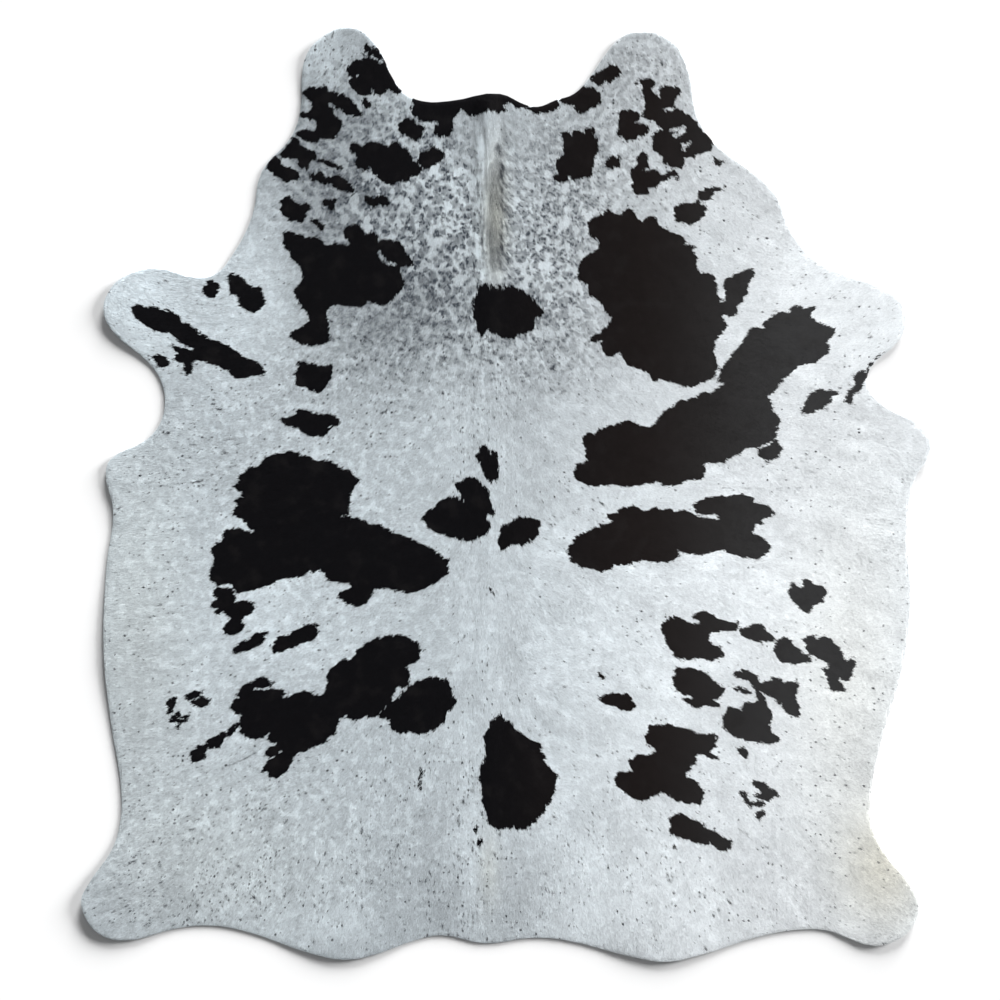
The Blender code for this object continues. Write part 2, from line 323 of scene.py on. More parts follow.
# %% Patches of the right shoulder
SHOULDER_RIGHT = [
    [(588, 224), (592, 219), (601, 214), (607, 209), (614, 214), (621, 215), (625, 210), (633, 210),
     (637, 216), (641, 221), (647, 218), (651, 216), (657, 219), (659, 225), (667, 230), (673, 234),
     (679, 236), (685, 240), (687, 245), (694, 246), (693, 251), (697, 257), (696, 264), (698, 271),
     (706, 273), (714, 277), (716, 285), (717, 296), (722, 302), (726, 296), (724, 287), (726, 279),
     (732, 276), (741, 272), (746, 270), (753, 269), (755, 273), (751, 280), (748, 287), (747, 294),
     (743, 300), (738, 306), (737, 312), (733, 316), (728, 318), (725, 314), (722, 317), (724, 322),
     (727, 326), (722, 333), (717, 339), (714, 343), (715, 348), (713, 353), (717, 357), (717, 363),
     (719, 367), (716, 372), (714, 378), (707, 381), (701, 383), (695, 386), (688, 387), (682, 386),
     (676, 385), (670, 382), (663, 380), (654, 381), (651, 377), (648, 373), (643, 371), (641, 369),
     (632, 367), (626, 363), (621, 359), (620, 354), (615, 354), (611, 357), (605, 354), (603, 349),
     (602, 344), (603, 341), (600, 340), (596, 343), (592, 342), (590, 339), (594, 336), (600, 333),
     (606, 327), (609, 322), (612, 318), (606, 313), (602, 306), (599, 301), (591, 297), (588, 289),
     (588, 284), (583, 283), (577, 279), (578, 272), (579, 264), (583, 258), (591, 255), (598, 248),
     (598, 241), (591, 238), (589, 231)],
    [(575, 477), (575, 471), (578, 464), (583, 463), (588, 460), (586, 455), (584, 451), (585, 447),
     (582, 441), (584, 436), (590, 433), (594, 434), (598, 430), (605, 428), (608, 426), (615, 425),
     (620, 423), (626, 421), (634, 421), (637, 424), (643, 427), (649, 427), (654, 425), (657, 421),
     (659, 417), (663, 412), (668, 409), (673, 406), (678, 402), (687, 400), (694, 398), (700, 395),
     (704, 393), (710, 393), (716, 389), (721, 385), (724, 383), (718, 381), (720, 376), (720, 371),
     (723, 367), (727, 361), (732, 354), (738, 348), (743, 341), (744, 337), (748, 332), (752, 328),
     (758, 327), (763, 330), (764, 327), (762, 323), (768, 319), (774, 315), (783, 312), (788, 313),
     (793, 307), (802, 307), (804, 309), (813, 306), (815, 309), (810, 314), (814, 318), (816, 323),
     (829, 326), (835, 328), (835, 331), (832, 337), (827, 340), (828, 345), (830, 350), (825, 354),
     (819, 360), (814, 363), (803, 365), (795, 369), (789, 376), (783, 380), (776, 389), (768, 396),
     (771, 400), (772, 407), (776, 412), (779, 417), (782, 420), (779, 424), (779, 430), (776, 434),
     (773, 439), (768, 443), (762, 446), (757, 448), (750, 448), (743, 450), (740, 454), (733, 457),
     (728, 460), (724, 462), (713, 463), (704, 464), (706, 468), (704, 475), (701, 479), (694, 480),
     (685, 481), (680, 484), (671, 486), (663, 485), (658, 482), (650, 484), (643, 485), (630, 486),
     (615, 485), (600, 486), (595, 486), (584, 484), (578, 481)],
    [(757, 450), (762, 448), (769, 446), (771, 442), (776, 440), (780, 444), (782, 449), (779, 454),
     (776, 458), (769, 461), (762, 458), (758, 455)],
    [(801, 413), (804, 405), (808, 398), (812, 392), (817, 389), (822, 389), (825, 392), (832, 390),
     (838, 392), (836, 395), (831, 397), (831, 402), (827, 405), (816, 411), (809, 414), (804, 414)],
    [(843, 400), (844, 396), (847, 393), (850, 389), (854, 385), (855, 382), (853, 380), (855, 376),
     (858, 373), (862, 371), (865, 373), (867, 370), (869, 369), (869, 377), (866, 380), (864, 384),
     (860, 389), (856, 394), (852, 399), (853, 402), (849, 406), (847, 403)],
]
print(len(SHOULDER_RIGHT), "patches on the right shoulder")

# %% [markdown]
# ## Patches along the spine and on the flanks

# %% Patches along the spine
SPINE_PATCHES = [
    [(477, 325), (476, 321), (474, 320), (472, 308), (474, 302), (476, 294), (479, 286), (484, 284),
     (491, 283), (504, 285), (512, 286), (519, 289), (527, 294), (532, 299), (537, 304), (543, 309),
     (544, 314), (540, 317), (535, 320), (533, 328), (527, 333), (517, 335), (513, 338), (507, 339),
     (501, 337), (493, 333), (487, 330), (484, 332), (481, 337), (478, 332)],
    [(484, 445), (486, 446), (489, 449), (490, 453), (491, 455), (493, 450), (495, 452), (498, 452),
     (499, 460), (499, 468), (498, 480), (495, 480), (494, 484), (491, 484), (488, 480), (485, 475),
     (482, 470), (479, 463), (476, 456), (478, 452), (480, 448)],
    [(422, 518), (426, 514), (427, 510), (433, 509), (438, 504), (444, 499), (449, 497), (456, 497),
     (461, 500), (464, 502), (461, 497), (458, 491), (454, 484), (459, 481), (466, 479), (471, 477),
     (477, 479), (481, 483), (485, 487), (488, 492), (490, 499), (491, 504), (493, 509), (494, 515),
     (492, 518), (489, 514), (488, 519), (490, 524), (490, 529), (486, 533), (480, 537), (475, 539),
     (471, 542), (465, 541), (460, 540), (455, 538), (448, 537), (441, 534), (434, 531), (428, 526),
     (425, 521)],
    [(501, 552), (499, 546), (498, 540), (499, 534), (500, 529), (503, 525), (508, 523), (512, 521),
     (518, 518), (522, 516), (527, 518), (532, 517), (536, 520), (540, 521), (539, 527), (539, 534),
     (535, 539), (529, 543), (522, 545), (514, 545), (510, 545), (506, 548)],
    [(501, 712), (503, 717), (507, 720), (513, 723), (513, 727), (518, 731), (522, 734), (529, 738),
     (535, 741), (540, 743), (542, 748), (541, 751), (545, 755), (545, 760), (548, 765), (550, 769),
     (554, 772), (558, 775), (556, 780), (555, 785), (555, 790), (552, 796), (551, 801), (549, 805),
     (545, 809), (542, 814), (539, 817), (536, 818), (537, 822), (532, 824), (530, 827), (524, 828),
     (517, 830), (514, 826), (511, 830), (507, 828), (501, 830), (496, 828), (492, 825), (488, 825),
     (487, 820), (486, 812), (484, 806), (482, 799), (482, 790), (481, 783), (478, 779), (477, 775),
     (480, 778), (481, 770), (481, 765), (484, 760), (484, 751), (484, 743), (484, 736), (487, 729),
     (491, 725), (491, 721), (495, 718), (498, 715)],
    [(475, 827), (478, 826), (478, 830), (476, 833), (474, 831)],
    [(479, 840), (482, 838), (485, 836), (483, 841), (481, 847), (478, 843)],
]
print(len(SPINE_PATCHES), "patches along the spine")

# %% Patches of the left flank
FLANK_LEFT = [
    [(290, 450), (296, 453), (303, 456), (308, 456), (315, 461), (322, 461), (330, 461), (337, 465),
     (343, 469), (348, 469), (351, 473), (356, 477), (361, 480), (356, 485), (352, 491), (350, 497),
     (349, 503), (349, 511), (350, 517), (358, 519), (365, 521), (370, 525), (379, 525), (388, 529),
     (393, 532), (403, 535), (411, 539), (418, 542), (424, 545), (432, 549), (438, 553), (443, 557),
     (450, 560), (447, 565), (449, 572), (443, 577), (436, 582), (430, 585), (423, 588), (415, 592),
     (404, 592), (395, 591), (388, 588), (375, 589), (373, 594), (369, 599), (366, 604), (356, 606),
     (350, 605), (343, 602), (339, 597), (338, 593), (343, 591), (350, 589), (351, 586), (344, 583),
     (336, 582), (328, 580), (325, 576), (324, 573), (320, 570), (313, 572), (306, 573), (299, 577),
     (290, 578), (280, 580), (272, 583), (266, 586), (258, 589), (250, 591), (243, 592), (237, 592),
     (233, 588), (230, 583), (224, 585), (217, 584), (211, 581), (210, 576), (210, 571), (213, 566),
     (214, 560), (214, 555), (211, 553), (211, 550), (216, 544), (222, 540), (223, 535), (227, 531),
     (234, 529), (241, 528), (245, 531), (254, 532), (249, 527), (244, 521), (239, 517), (233, 513),
     (236, 505), (234, 500), (241, 496), (240, 491), (234, 487), (239, 483), (238, 479), (240, 475),
     (245, 472), (250, 468), (260, 465), (262, 461), (269, 457), (275, 454), (283, 453)],
    [(213, 590), (219, 587), (224, 588), (229, 588), (235, 590), (234, 596), (236, 600), (233, 604),
     (240, 602), (247, 601), (254, 602), (253, 606), (256, 609), (251, 613), (244, 616), (242, 620),
     (245, 624), (244, 628), (238, 633), (232, 635), (225, 632), (223, 629), (227, 625), (229, 620),
     (228, 616), (225, 612), (222, 611), (218, 614), (214, 612), (217, 608), (212, 608), (210, 605),
     (213, 601), (218, 600), (214, 597), (213, 593)],
    [(232, 651), (237, 645), (240, 642), (248, 640), (255, 634), (260, 632), (266, 631), (269, 633),
     (265, 637), (263, 641), (259, 645), (250, 649), (243, 652), (236, 654)],
    [(273, 646), (275, 640), (280, 636), (289, 634), (291, 631), (298, 628), (305, 625), (313, 624),
     (318, 626), (316, 628), (321, 630), (318, 634), (314, 639), (308, 642), (302, 644), (298, 645),
     (291, 648), (284, 651), (275, 653), (273, 649)],
]
print(len(FLANK_LEFT), "patches on the left flank")

# %% Patches of the right flank
FLANK_RIGHT = [
    [(567, 553), (569, 547), (572, 544), (575, 538), (573, 536), (579, 535), (586, 532), (591, 529),
     (600, 527), (598, 524), (606, 524), (612, 521), (607, 517), (609, 514), (616, 512), (622, 509),
     (630, 506), (637, 507), (641, 510), (646, 511), (652, 508), (656, 508), (661, 510), (668, 510),
     (676, 512), (684, 511), (691, 513), (697, 516), (702, 519), (708, 518), (718, 520), (740, 520),
     (752, 526), (752, 532), (757, 535), (761, 538), (767, 542), (770, 546), (769, 551), (765, 554),
     (759, 559), (752, 559), (744, 558), (738, 556), (731, 553), (721, 550), (714, 552), (708, 554),
     (700, 555), (692, 554), (684, 553), (678, 552), (680, 556), (675, 558), (672, 561), (665, 562),
     (655, 562), (648, 562), (640, 561), (632, 564), (622, 565), (614, 566), (610, 569), (604, 571),
     (596, 571), (592, 569), (583, 568), (577, 565), (571, 562), (570, 558)],
    [(693, 506), (698, 501), (703, 499), (710, 497), (720, 495), (728, 496), (738, 495), (745, 495),
     (752, 498), (753, 502), (760, 503), (767, 506), (771, 509), (775, 513), (771, 516), (766, 518),
     (762, 521), (764, 524), (757, 525), (752, 527), (740, 528), (726, 524), (718, 518), (714, 514),
     (706, 514), (700, 514), (695, 510)],
    [(787, 591), (790, 588), (790, 584), (794, 584), (799, 588), (803, 587), (801, 583), (803, 580),
     (808, 579), (812, 581), (815, 585), (820, 586), (825, 589), (826, 593), (824, 599), (822, 603),
     (816, 605), (812, 608), (810, 612), (808, 614), (803, 611), (798, 607), (794, 602), (791, 597)],
    [(660, 628), (663, 622), (668, 619), (674, 617), (680, 618), (687, 621), (693, 624), (700, 624),
     (697, 619), (693, 617), (698, 613), (704, 610), (710, 612), (715, 616), (716, 619), (724, 621),
     (731, 623), (737, 622), (738, 626), (735, 631), (728, 630), (718, 632), (711, 634), (708, 636),
     (711, 641), (714, 645), (721, 646), (721, 650), (725, 655), (721, 658), (711, 660), (704, 659),
     (696, 658), (688, 660), (680, 658), (673, 653), (669, 648), (665, 643), (666, 639), (662, 634)],
    [(739, 628), (745, 627), (751, 627), (751, 624), (757, 623), (762, 624), (765, 629), (770, 633),
     (774, 640), (768, 642), (761, 642), (753, 640), (745, 637), (740, 633)],
    [(772, 648), (776, 645), (777, 640), (783, 637), (789, 639), (794, 645), (800, 650), (807, 655),
     (811, 658), (813, 662), (807, 663), (799, 663), (793, 665), (785, 663), (778, 659), (775, 654)],
    [(802, 638), (806, 637), (812, 636), (817, 640), (820, 637), (825, 637), (831, 639), (836, 644),
     (841, 650), (844, 656), (847, 661), (850, 658), (854, 661), (856, 666), (853, 670), (851, 674),
     (851, 679), (846, 682), (842, 680), (839, 678), (841, 683), (845, 690), (839, 691), (833, 691),
     (829, 686), (827, 679), (825, 673), (823, 668), (828, 667), (824, 662), (819, 658), (813, 655),
     (808, 650), (804, 645)],
    [(673, 680), (672, 677), (676, 675), (674, 670), (678, 667), (682, 669), (689, 668), (697, 670),
     (705, 672), (711, 678), (714, 681), (719, 684), (725, 688), (724, 692), (720, 697), (714, 700),
     (719, 703), (721, 706), (714, 707), (707, 706), (700, 708), (692, 707), (687, 703), (681, 699),
     (686, 699), (692, 698), (686, 695), (680, 691), (675, 687), (673, 684)],
    [(733, 673), (737, 671), (744, 670), (750, 671), (755, 674), (758, 677), (756, 680), (760, 683),
     (764, 682), (768, 680), (772, 680), (770, 677), (774, 677), (781, 680), (785, 683), (790, 681),
     (796, 683), (799, 688), (797, 694), (796, 700), (799, 706), (800, 712), (799, 718), (793, 715),
     (787, 713), (782, 707), (777, 702), (771, 697), (765, 693), (759, 691), (753, 688), (751, 684),
     (748, 681), (742, 679), (735, 677)],
    [(732, 687), (737, 686), (743, 687), (748, 690), (751, 692), (747, 694), (741, 692), (735, 690)],
]
print(len(FLANK_RIGHT), "patches on the right flank")

# %% [markdown]
# ## Patches of the rump and hind legs

# %% Patches of the left hind part
RUMP_LEFT = [
    [(229, 708), (232, 703), (234, 699), (238, 696), (236, 694), (239, 692), (241, 687), (246, 684),
     (252, 683), (257, 679), (262, 677), (266, 677), (268, 681), (275, 682), (271, 686), (262, 688),
     (257, 690), (265, 691), (272, 688), (280, 689), (287, 690), (285, 694), (281, 697), (287, 697),
     (293, 695), (300, 692), (307, 692), (314, 691), (313, 695), (320, 695), (325, 691), (326, 684),
     (327, 679), (328, 674), (331, 669), (337, 664), (345, 660), (350, 659), (355, 655), (356, 651),
     (362, 648), (363, 645), (369, 642), (373, 640), (379, 637), (386, 636), (393, 635), (400, 635),
     (406, 637), (411, 640), (417, 641), (420, 645), (419, 648), (424, 650), (420, 653), (420, 658),
     (416, 661), (410, 663), (405, 667), (409, 669), (410, 674), (408, 680), (409, 685), (403, 687),
     (396, 687), (394, 692), (393, 700), (390, 705), (385, 707), (382, 709), (380, 713), (377, 716),
     (370, 718), (365, 716), (361, 718), (355, 720), (349, 719), (346, 715), (345, 712), (343, 718),
     (340, 717), (339, 722), (337, 727), (335, 734), (330, 737), (327, 741), (322, 744), (312, 748),
     (304, 752), (298, 753), (293, 758), (291, 764), (288, 771), (282, 775), (273, 778), (268, 775),
     (267, 772), (263, 771), (264, 766), (268, 761), (273, 758), (277, 755), (283, 752), (279, 751),
     (271, 757), (266, 755), (267, 750), (271, 747), (276, 744), (270, 743), (268, 738), (269, 733),
     (262, 738), (255, 739), (249, 737), (245, 735), (240, 733), (241, 729), (243, 725), (240, 721),
     (241, 717), (236, 714), (232, 710)],
    [(393, 700), (399, 696), (405, 691), (411, 686), (417, 682), (423, 679), (430, 677), (437, 677),
     (442, 680), (449, 680), (450, 685), (453, 690), (452, 696), (457, 701), (454, 706), (452, 710),
     (446, 712), (446, 717), (442, 724), (436, 729), (428, 732), (418, 734), (410, 732), (402, 733),
     (396, 732), (391, 728), (390, 722), (391, 720), (384, 719), (378, 716), (383, 711), (387, 706)],
    [(189, 754), (192, 749), (198, 746), (204, 744), (209, 738), (216, 737), (220, 733), (226, 731),
     (230, 727), (240, 721), (242, 725), (235, 730), (231, 735), (226, 736), (221, 743), (220, 748),
     (210, 748), (206, 752), (205, 758), (198, 761), (192, 760)],
    [(166, 702), (172, 698), (176, 697), (177, 701), (175, 707), (172, 712), (169, 715), (167, 712),
     (169, 708)],
    [(170, 722), (172, 717), (178, 711), (181, 712), (180, 716), (185, 715), (191, 712), (190, 717),
     (184, 722), (178, 729), (176, 727), (178, 723)],
    [(185, 699), (190, 693), (198, 690), (204, 690), (200, 695), (211, 700), (207, 705), (200, 708),
     (194, 706), (188, 700)],
]
print(len(RUMP_LEFT), "patches on the left hind part")

# %% Patches of the right hind part
RUMP_RIGHT = [
    [(723, 718), (725, 713), (727, 708), (732, 707), (737, 709), (742, 710), (741, 706), (746, 703),
     (753, 703), (757, 700), (756, 694), (759, 691), (764, 694), (767, 699), (767, 706), (771, 711),
     (772, 716), (770, 721), (769, 727), (773, 732), (777, 736), (780, 741), (773, 743), (766, 744),
     (758, 742), (750, 741), (742, 739), (735, 736), (729, 732), (724, 729), (723, 723)],
    [(600, 699), (603, 695), (609, 693), (616, 693), (624, 694), (631, 696), (633, 700), (636, 706),
     (632, 709), (628, 711), (622, 709), (615, 706), (607, 704), (602, 702)],
    [(644, 738), (647, 733), (648, 730), (647, 726), (652, 725), (660, 725), (667, 724), (674, 726),
     (680, 727), (688, 729), (694, 732), (698, 734), (705, 734), (710, 733), (715, 735), (718, 740),
     (715, 743), (718, 748), (712, 749), (710, 752), (714, 755), (721, 760), (716, 761), (709, 757),
     (704, 754), (697, 755), (696, 760), (693, 765), (688, 766), (691, 768), (687, 772), (687, 776),
     (692, 779), (698, 784), (702, 790), (703, 793), (702, 800), (700, 805), (694, 803), (689, 804),
     (683, 801), (675, 799), (668, 796), (663, 793), (659, 792), (653, 796), (648, 799), (640, 800),
     (632, 797), (624, 791), (617, 786), (614, 782), (616, 777), (618, 773), (622, 771), (628, 772),
     (631, 771), (630, 766), (628, 763), (632, 758), (637, 755), (643, 754), (648, 755), (654, 752),
     (658, 750), (652, 748), (647, 744)],
    [(668, 820), (671, 817), (678, 813), (690, 817), (697, 821), (703, 823), (708, 829), (716, 832),
     (724, 836), (730, 840), (731, 847), (726, 851), (718, 849), (711, 843), (705, 845), (690, 840),
     (676, 837), (670, 831), (672, 826)],
    [(753, 780), (759, 780), (765, 783), (769, 787), (774, 789), (778, 793), (779, 798), (774, 797),
     (769, 800), (763, 800), (757, 798), (754, 796), (754, 793), (760, 792), (757, 788), (752, 784)],
    [(739, 792), (743, 792), (747, 797), (750, 801), (757, 801), (764, 801), (765, 804), (760, 808),
     (755, 806), (751, 808), (746, 804), (743, 799)],
    [(754, 812), (758, 810), (764, 810), (765, 814), (762, 817), (760, 820), (756, 817)],
    [(738, 748), (743, 749), (749, 754), (746, 758), (742, 756)],
]
print(len(RUMP_RIGHT), "patches on the right hind part")

# %% [markdown]
# ## Small marks
# Real hides keep thin white tongues inside the patches, and a few dark strokes from scars. Shade in creases is
# painted as faint strokes too. They are short strokes on the same chart, with their own width.

# %% Pale tongues and dark strokes
Stroke = namedtuple("Stroke", "points width")
PALE_TONGUES = [
    Stroke([(379, 253), (382, 258), (386, 263), (394, 264)], 3.4),
    Stroke([(330, 105), (334, 107), (335, 112), (339, 117)], 2.2),
    Stroke([(369, 43), (372, 49)], 1.6),
    Stroke([(361, 58), (366, 57), (367, 53)], 2.0),
    Stroke([(371, 57), (378, 60)], 1.7),
    Stroke([(380, 62), (384, 62)], 2.8),
    Stroke([(357, 76), (358, 76)], 1.4),
    Stroke([(372, 90), (373, 96)], 1.8),
    Stroke([(388, 89), (389, 94)], 2.6),
    Stroke([(416, 120), (417, 124)], 2.2),
    Stroke([(426, 126), (432, 124), (437, 123)], 2.0),
    Stroke([(413, 160), (417, 162), (421, 167)], 1.8),
    Stroke([(417, 150), (418, 160)], 2.0),
    Stroke([(370, 169), (371, 176)], 2.6),
    Stroke([(343, 516), (351, 515)], 2.2),
    Stroke([(256, 689), (265, 689), (273, 687)], 1.6),
    Stroke([(664, 110), (670, 109), (674, 108)], 2.6),
    Stroke([(671, 131), (677, 130), (684, 128)], 3.2),
    Stroke([(675, 136), (680, 134), (683, 131)], 3.6),
    Stroke([(681, 144), (685, 147), (690, 143)], 2.2),
    Stroke([(685, 146), (684, 150)], 2.8),
    Stroke([(651, 88), (655, 92), (659, 97)], 2.0),
    Stroke([(186, 700), (192, 700), (199, 698)], 0.9),
    Stroke([(178, 718), (183, 719)], 0.9),
    Stroke([(488, 282), (490, 287)], 1.4),
    Stroke([(494, 282), (497, 288)], 1.6),
    Stroke([(501, 283), (504, 288)], 1.4),
    Stroke([(508, 284), (510, 287)], 1.2),
]
DARK_STROKES = [
    Stroke([(421, 769), (421, 776), (420, 789)], 2.2),
    Stroke([(426, 752), (423, 758)], 1.4),
    Stroke([(599, 673), (601, 676), (604, 678)], 2.0),
    Stroke([(635, 84), (636, 84)], 3.0),
    Stroke([(676, 179), (677, 179)], 3.0),
    Stroke([(674, 847), (675, 847)], 2.0),
    Stroke([(524, 106), (529, 109), (535, 109)], 3.6),
    Stroke([(867, 371), (869, 366), (871, 363), (875, 359), (879, 356), (884, 352)], 2.4),
    Stroke([(491, 590), (495, 597)], 1.8),
]
SCARS_AND_CREASE_SHADES = [
    Stroke([(257, 752), (240, 761), (223, 768), (211, 777)], 1.4),
    Stroke([(724, 819), (739, 829), (752, 840)], 1.4),
    # The next five are painted shade in creases by the armpits; the two above are scars, the last two a whorl.
    Stroke([(723, 488), (760, 489), (792, 488), (835, 487)], 1.4),
    Stroke([(762, 462), (790, 466), (815, 473), (832, 480)], 1.6),
    Stroke([(862, 519), (885, 520), (906, 519)], 1.6),
    Stroke([(146, 452), (180, 447), (214, 441), (246, 438)], 1.6),
    Stroke([(150, 487), (175, 484), (200, 482)], 1.6),
    Stroke([(493, 587), (492, 592), (494, 596)], 3.2),
    Stroke([(496, 579), (498, 582)], 2.4),
]
MANE_SHADES = [
    Stroke([(496.5, 168), (495.5, 230), (497, 262)], 15),
    Stroke([(498, 148), (498, 160)], 7),
    Stroke([(490.5, 170), (490, 225), (492, 258)], 5),
]
PATCHES = NECK_LEFT + NECK_TOP + NECK_RIGHT + SHOULDER_LEFT + SHOULDER_RIGHT
PATCHES += SPINE_PATCHES + FLANK_LEFT + FLANK_RIGHT + RUMP_LEFT + RUMP_RIGHT
SMALL_MARKS = len(PALE_TONGUES) + len(DARK_STROKES) + len(SCARS_AND_CREASE_SHADES)
print(len(PATCHES), "patches and", SMALL_MARKS, "small marks in all")

# %% [markdown]
# ## Fields: what the hide is like at each place
# Hairs and skin ask the same questions everywhere: how far is the edge, which way does the coat lie, is this
# a dark patch. Each answer is worked out once on an even grid over the hide, and read between its marks.

# %% The even grid and how it is read
GRID = 2.0 * MM
GRID_MARGIN = 30 * MM
GRID_LEFT = CAD_BOX[0][0] - GRID_MARGIN
GRID_LOW = CAD_BOX[0][1] - GRID_MARGIN
COLUMNS = int((CAD_BOX[1][0] - GRID_LEFT + GRID_MARGIN) / GRID)
ROWS = int((CAD_BOX[1][1] - GRID_LOW + GRID_MARGIN) / GRID)
SHORT_OF_LAST = 1.001


def read(field, across, along, pitch=GRID):
    """The field's value between its marks, at places in metres."""
    rows, columns = field.shape
    column = np.clip((across - GRID_LEFT) / pitch, 0, columns - SHORT_OF_LAST)
    row = np.clip((along - GRID_LOW) / pitch, 0, rows - SHORT_OF_LAST)
    left, low = column.astype(np.int32), row.astype(np.int32)
    right_share, up_share = column - left, row - low
    lower = field[low, left] * (1 - right_share) + field[low, left + 1] * right_share
    upper = field[low + 1, left] * (1 - right_share) + field[low + 1, left + 1] * right_share
    return lower * (1 - up_share) + upper * up_share


ACROSS, ALONG = np.meshgrid(GRID_LEFT + GRID * np.arange(COLUMNS), GRID_LOW + GRID * np.arange(ROWS))
print("the grid has", COLUMNS, "by", ROWS, "marks")

# %% [markdown]
# ## Distances
# The outline, the patches and the strokes are all lines, and a distance to a line says how deep in a patch or
# how near to the rim a place is. Only the marks within reach of a line are worked out, which keeps it quick.

# %% Distance to a line, and what is inside it
FAR = 60 * MM
NO_LENGTH = 1e-12


def window(points, reach):
    """The part of the grid within reach of some points, as a pair of slices."""
    low = np.floor((points.min(0) - reach - (GRID_LEFT, GRID_LOW)) / GRID).astype(int)
    high = np.ceil((points.max(0) + reach - (GRID_LEFT, GRID_LOW)) / GRID).astype(int) + 1
    return slice(max(low[1], 0), max(high[1], 0)), slice(max(low[0], 0), max(high[0], 0))


def distance_to_line(points, closed, reach=FAR):
    """Distance in metres from the grid's marks to a line through the points, no more than reach."""
    distance = np.full(ACROSS.shape, reach)
    ends = np.roll(points, -1, axis=0) if closed else points[1:]
    for start, end in zip(points, ends):
        part = window(np.array([start, end]), reach)
        x, y = ACROSS[part] - start[0], ALONG[part] - start[1]
        run = end - start
        share = np.clip((x * run[0] + y * run[1]) / max(run @ run, NO_LENGTH), 0, 1)
        near = np.hypot(x - share * run[0], y - share * run[1])
        distance[part] = np.minimum(distance[part], near)
    return distance


def is_inside(points):
    """Which marks lie inside a closed outline."""
    inside = np.zeros(ACROSS.shape, bool)
    for start, end in zip(points, np.roll(points, -1, axis=0)):
        low, high = sorted((start[1], end[1]))
        first = max(math.ceil((low - GRID_LOW) / GRID), 0)
        last = max(math.ceil((high - GRID_LOW) / GRID), 0)
        if first >= last:
            continue
        y = ALONG[first:last]
        crossing = start[0] + (y - start[1]) * (end[0] - start[0]) / (end[1] - start[1])
        inside[first:last] ^= ACROSS[first:last] < crossing
    return inside


print("distances are held up to", FAR / MM, "mm")

# %% [markdown]
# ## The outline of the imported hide
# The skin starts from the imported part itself: a copy of its node, with its doubles merged, is cut down to the
# underside and laid flat. That gives the true outline, and nothing has to be fitted.

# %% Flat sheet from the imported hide
WELD = 0.02 * MM
DOWNWARD = -0.5

hide_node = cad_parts["hide"]
packed = bmesh.new()
packed.from_mesh(hide_node.data)
bmesh.ops.remove_doubles(packed, verts=packed.verts, dist=WELD)
packed.normal_update()
hide_faces = BVHTree.FromBMesh(packed)
sheet = packed.copy()
not_below = [face for face in sheet.faces if face.normal.z > DOWNWARD]
bmesh.ops.delete(sheet, geom=not_below, context="FACES")
for point in sheet.verts:
    point.co.z = 0
bmesh.ops.delete(sheet, geom=sheet.faces[:], context="FACES_KEEP_BOUNDARY")
bmesh.ops.contextual_create(sheet, geom=sheet.edges)
whole = max(sheet.faces, key=lambda face: face.calc_area())
bmesh.ops.delete(sheet, geom=[face for face in sheet.faces if face != whole], context="FACES")
if whole.normal.z < 0:
    bmesh.ops.reverse_faces(sheet, faces=[whole])
OUTLINE = np.array([point.co[:2] for point in whole.verts])
FLAT_AREA = whole.calc_area()
packed.free()
print("one sheet with", len(OUTLINE), "points round it,", round(FLAT_AREA, 3), "square metres")

# %% Distance to the cut edge
edge_distance = distance_to_line(OUTLINE, closed=True)
inside_hide = is_inside(OUTLINE)
EDGE = np.where(inside_hide, edge_distance, -edge_distance)
print("the grid finds", round(inside_hide.sum() * GRID * GRID, 3), "square metres inside the outline")

# %% [markdown]
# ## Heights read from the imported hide
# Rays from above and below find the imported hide's top, where the lying coat ends, and its underside, which
# lifts a little where the edge curls. They change slowly, so a coarser grid will do. Past the outline the
# heights are carried outwards for the hair tips.

# %% Top and underside heights
COARSE_STEP = 4
COARSE = COARSE_STEP * GRID
COARSE_COLUMNS = COLUMNS // COARSE_STEP + 1
COARSE_ROWS = ROWS // COARSE_STEP + 1
RAY_FROM = 1.0
CARRY_STEPS = 6


def heights(direction):
    """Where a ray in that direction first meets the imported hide, on the coarse grid."""
    found = np.full((COARSE_ROWS, COARSE_COLUMNS), np.nan)
    aim = Vector((0, 0, direction))
    for row in range(COARSE_ROWS):
        for column in range(COARSE_COLUMNS):
            start = (GRID_LEFT + column * COARSE, GRID_LOW + row * COARSE, -direction * RAY_FROM)
            place = hide_faces.ray_cast(start, aim)[0]
            if place is not None:
                found[row, column] = place.z
    return found


def carried_out(found):
    """Fills the empty marks next to filled ones with their neighbours' mean, a few times over."""
    for _ in range(CARRY_STEPS):
        around = np.pad(found, 1, constant_values=np.nan)
        near = np.stack([around[1 + r:around.shape[0] - 1 + r, 1 + c:around.shape[1] - 1 + c]
                         for r in (-1, 0, 1) for c in (-1, 0, 1)])
        count = (~np.isnan(near)).sum(0)
        mean = np.nansum(near, axis=0) / np.maximum(count, 1)
        found = np.where(np.isnan(found) & (count > 0), mean, found)
    return np.nan_to_num(found, nan=np.nanmin(found))


TOP = carried_out(heights(-1))
UNDER = carried_out(heights(1))
print("top from", round(TOP.min() / MM, 1), "to", round(TOP.max() / MM, 1), "mm")

# %% [markdown]
# ## Soft touches
# Some things change softly over the hide. Each is painted from soft round touches, wide and tall in chart
# squares and some of them leaning by a few degrees, laid over one another as a painter would.

# %% Soft touches and how they add up
Touch = namedtuple("Touch", "column row wide tall amount lean", defaults=[0])


def touches(*rows):
    """Touches from their columns, rows, widths, heights, amounts and leans."""
    return [Touch(*row) for row in rows]


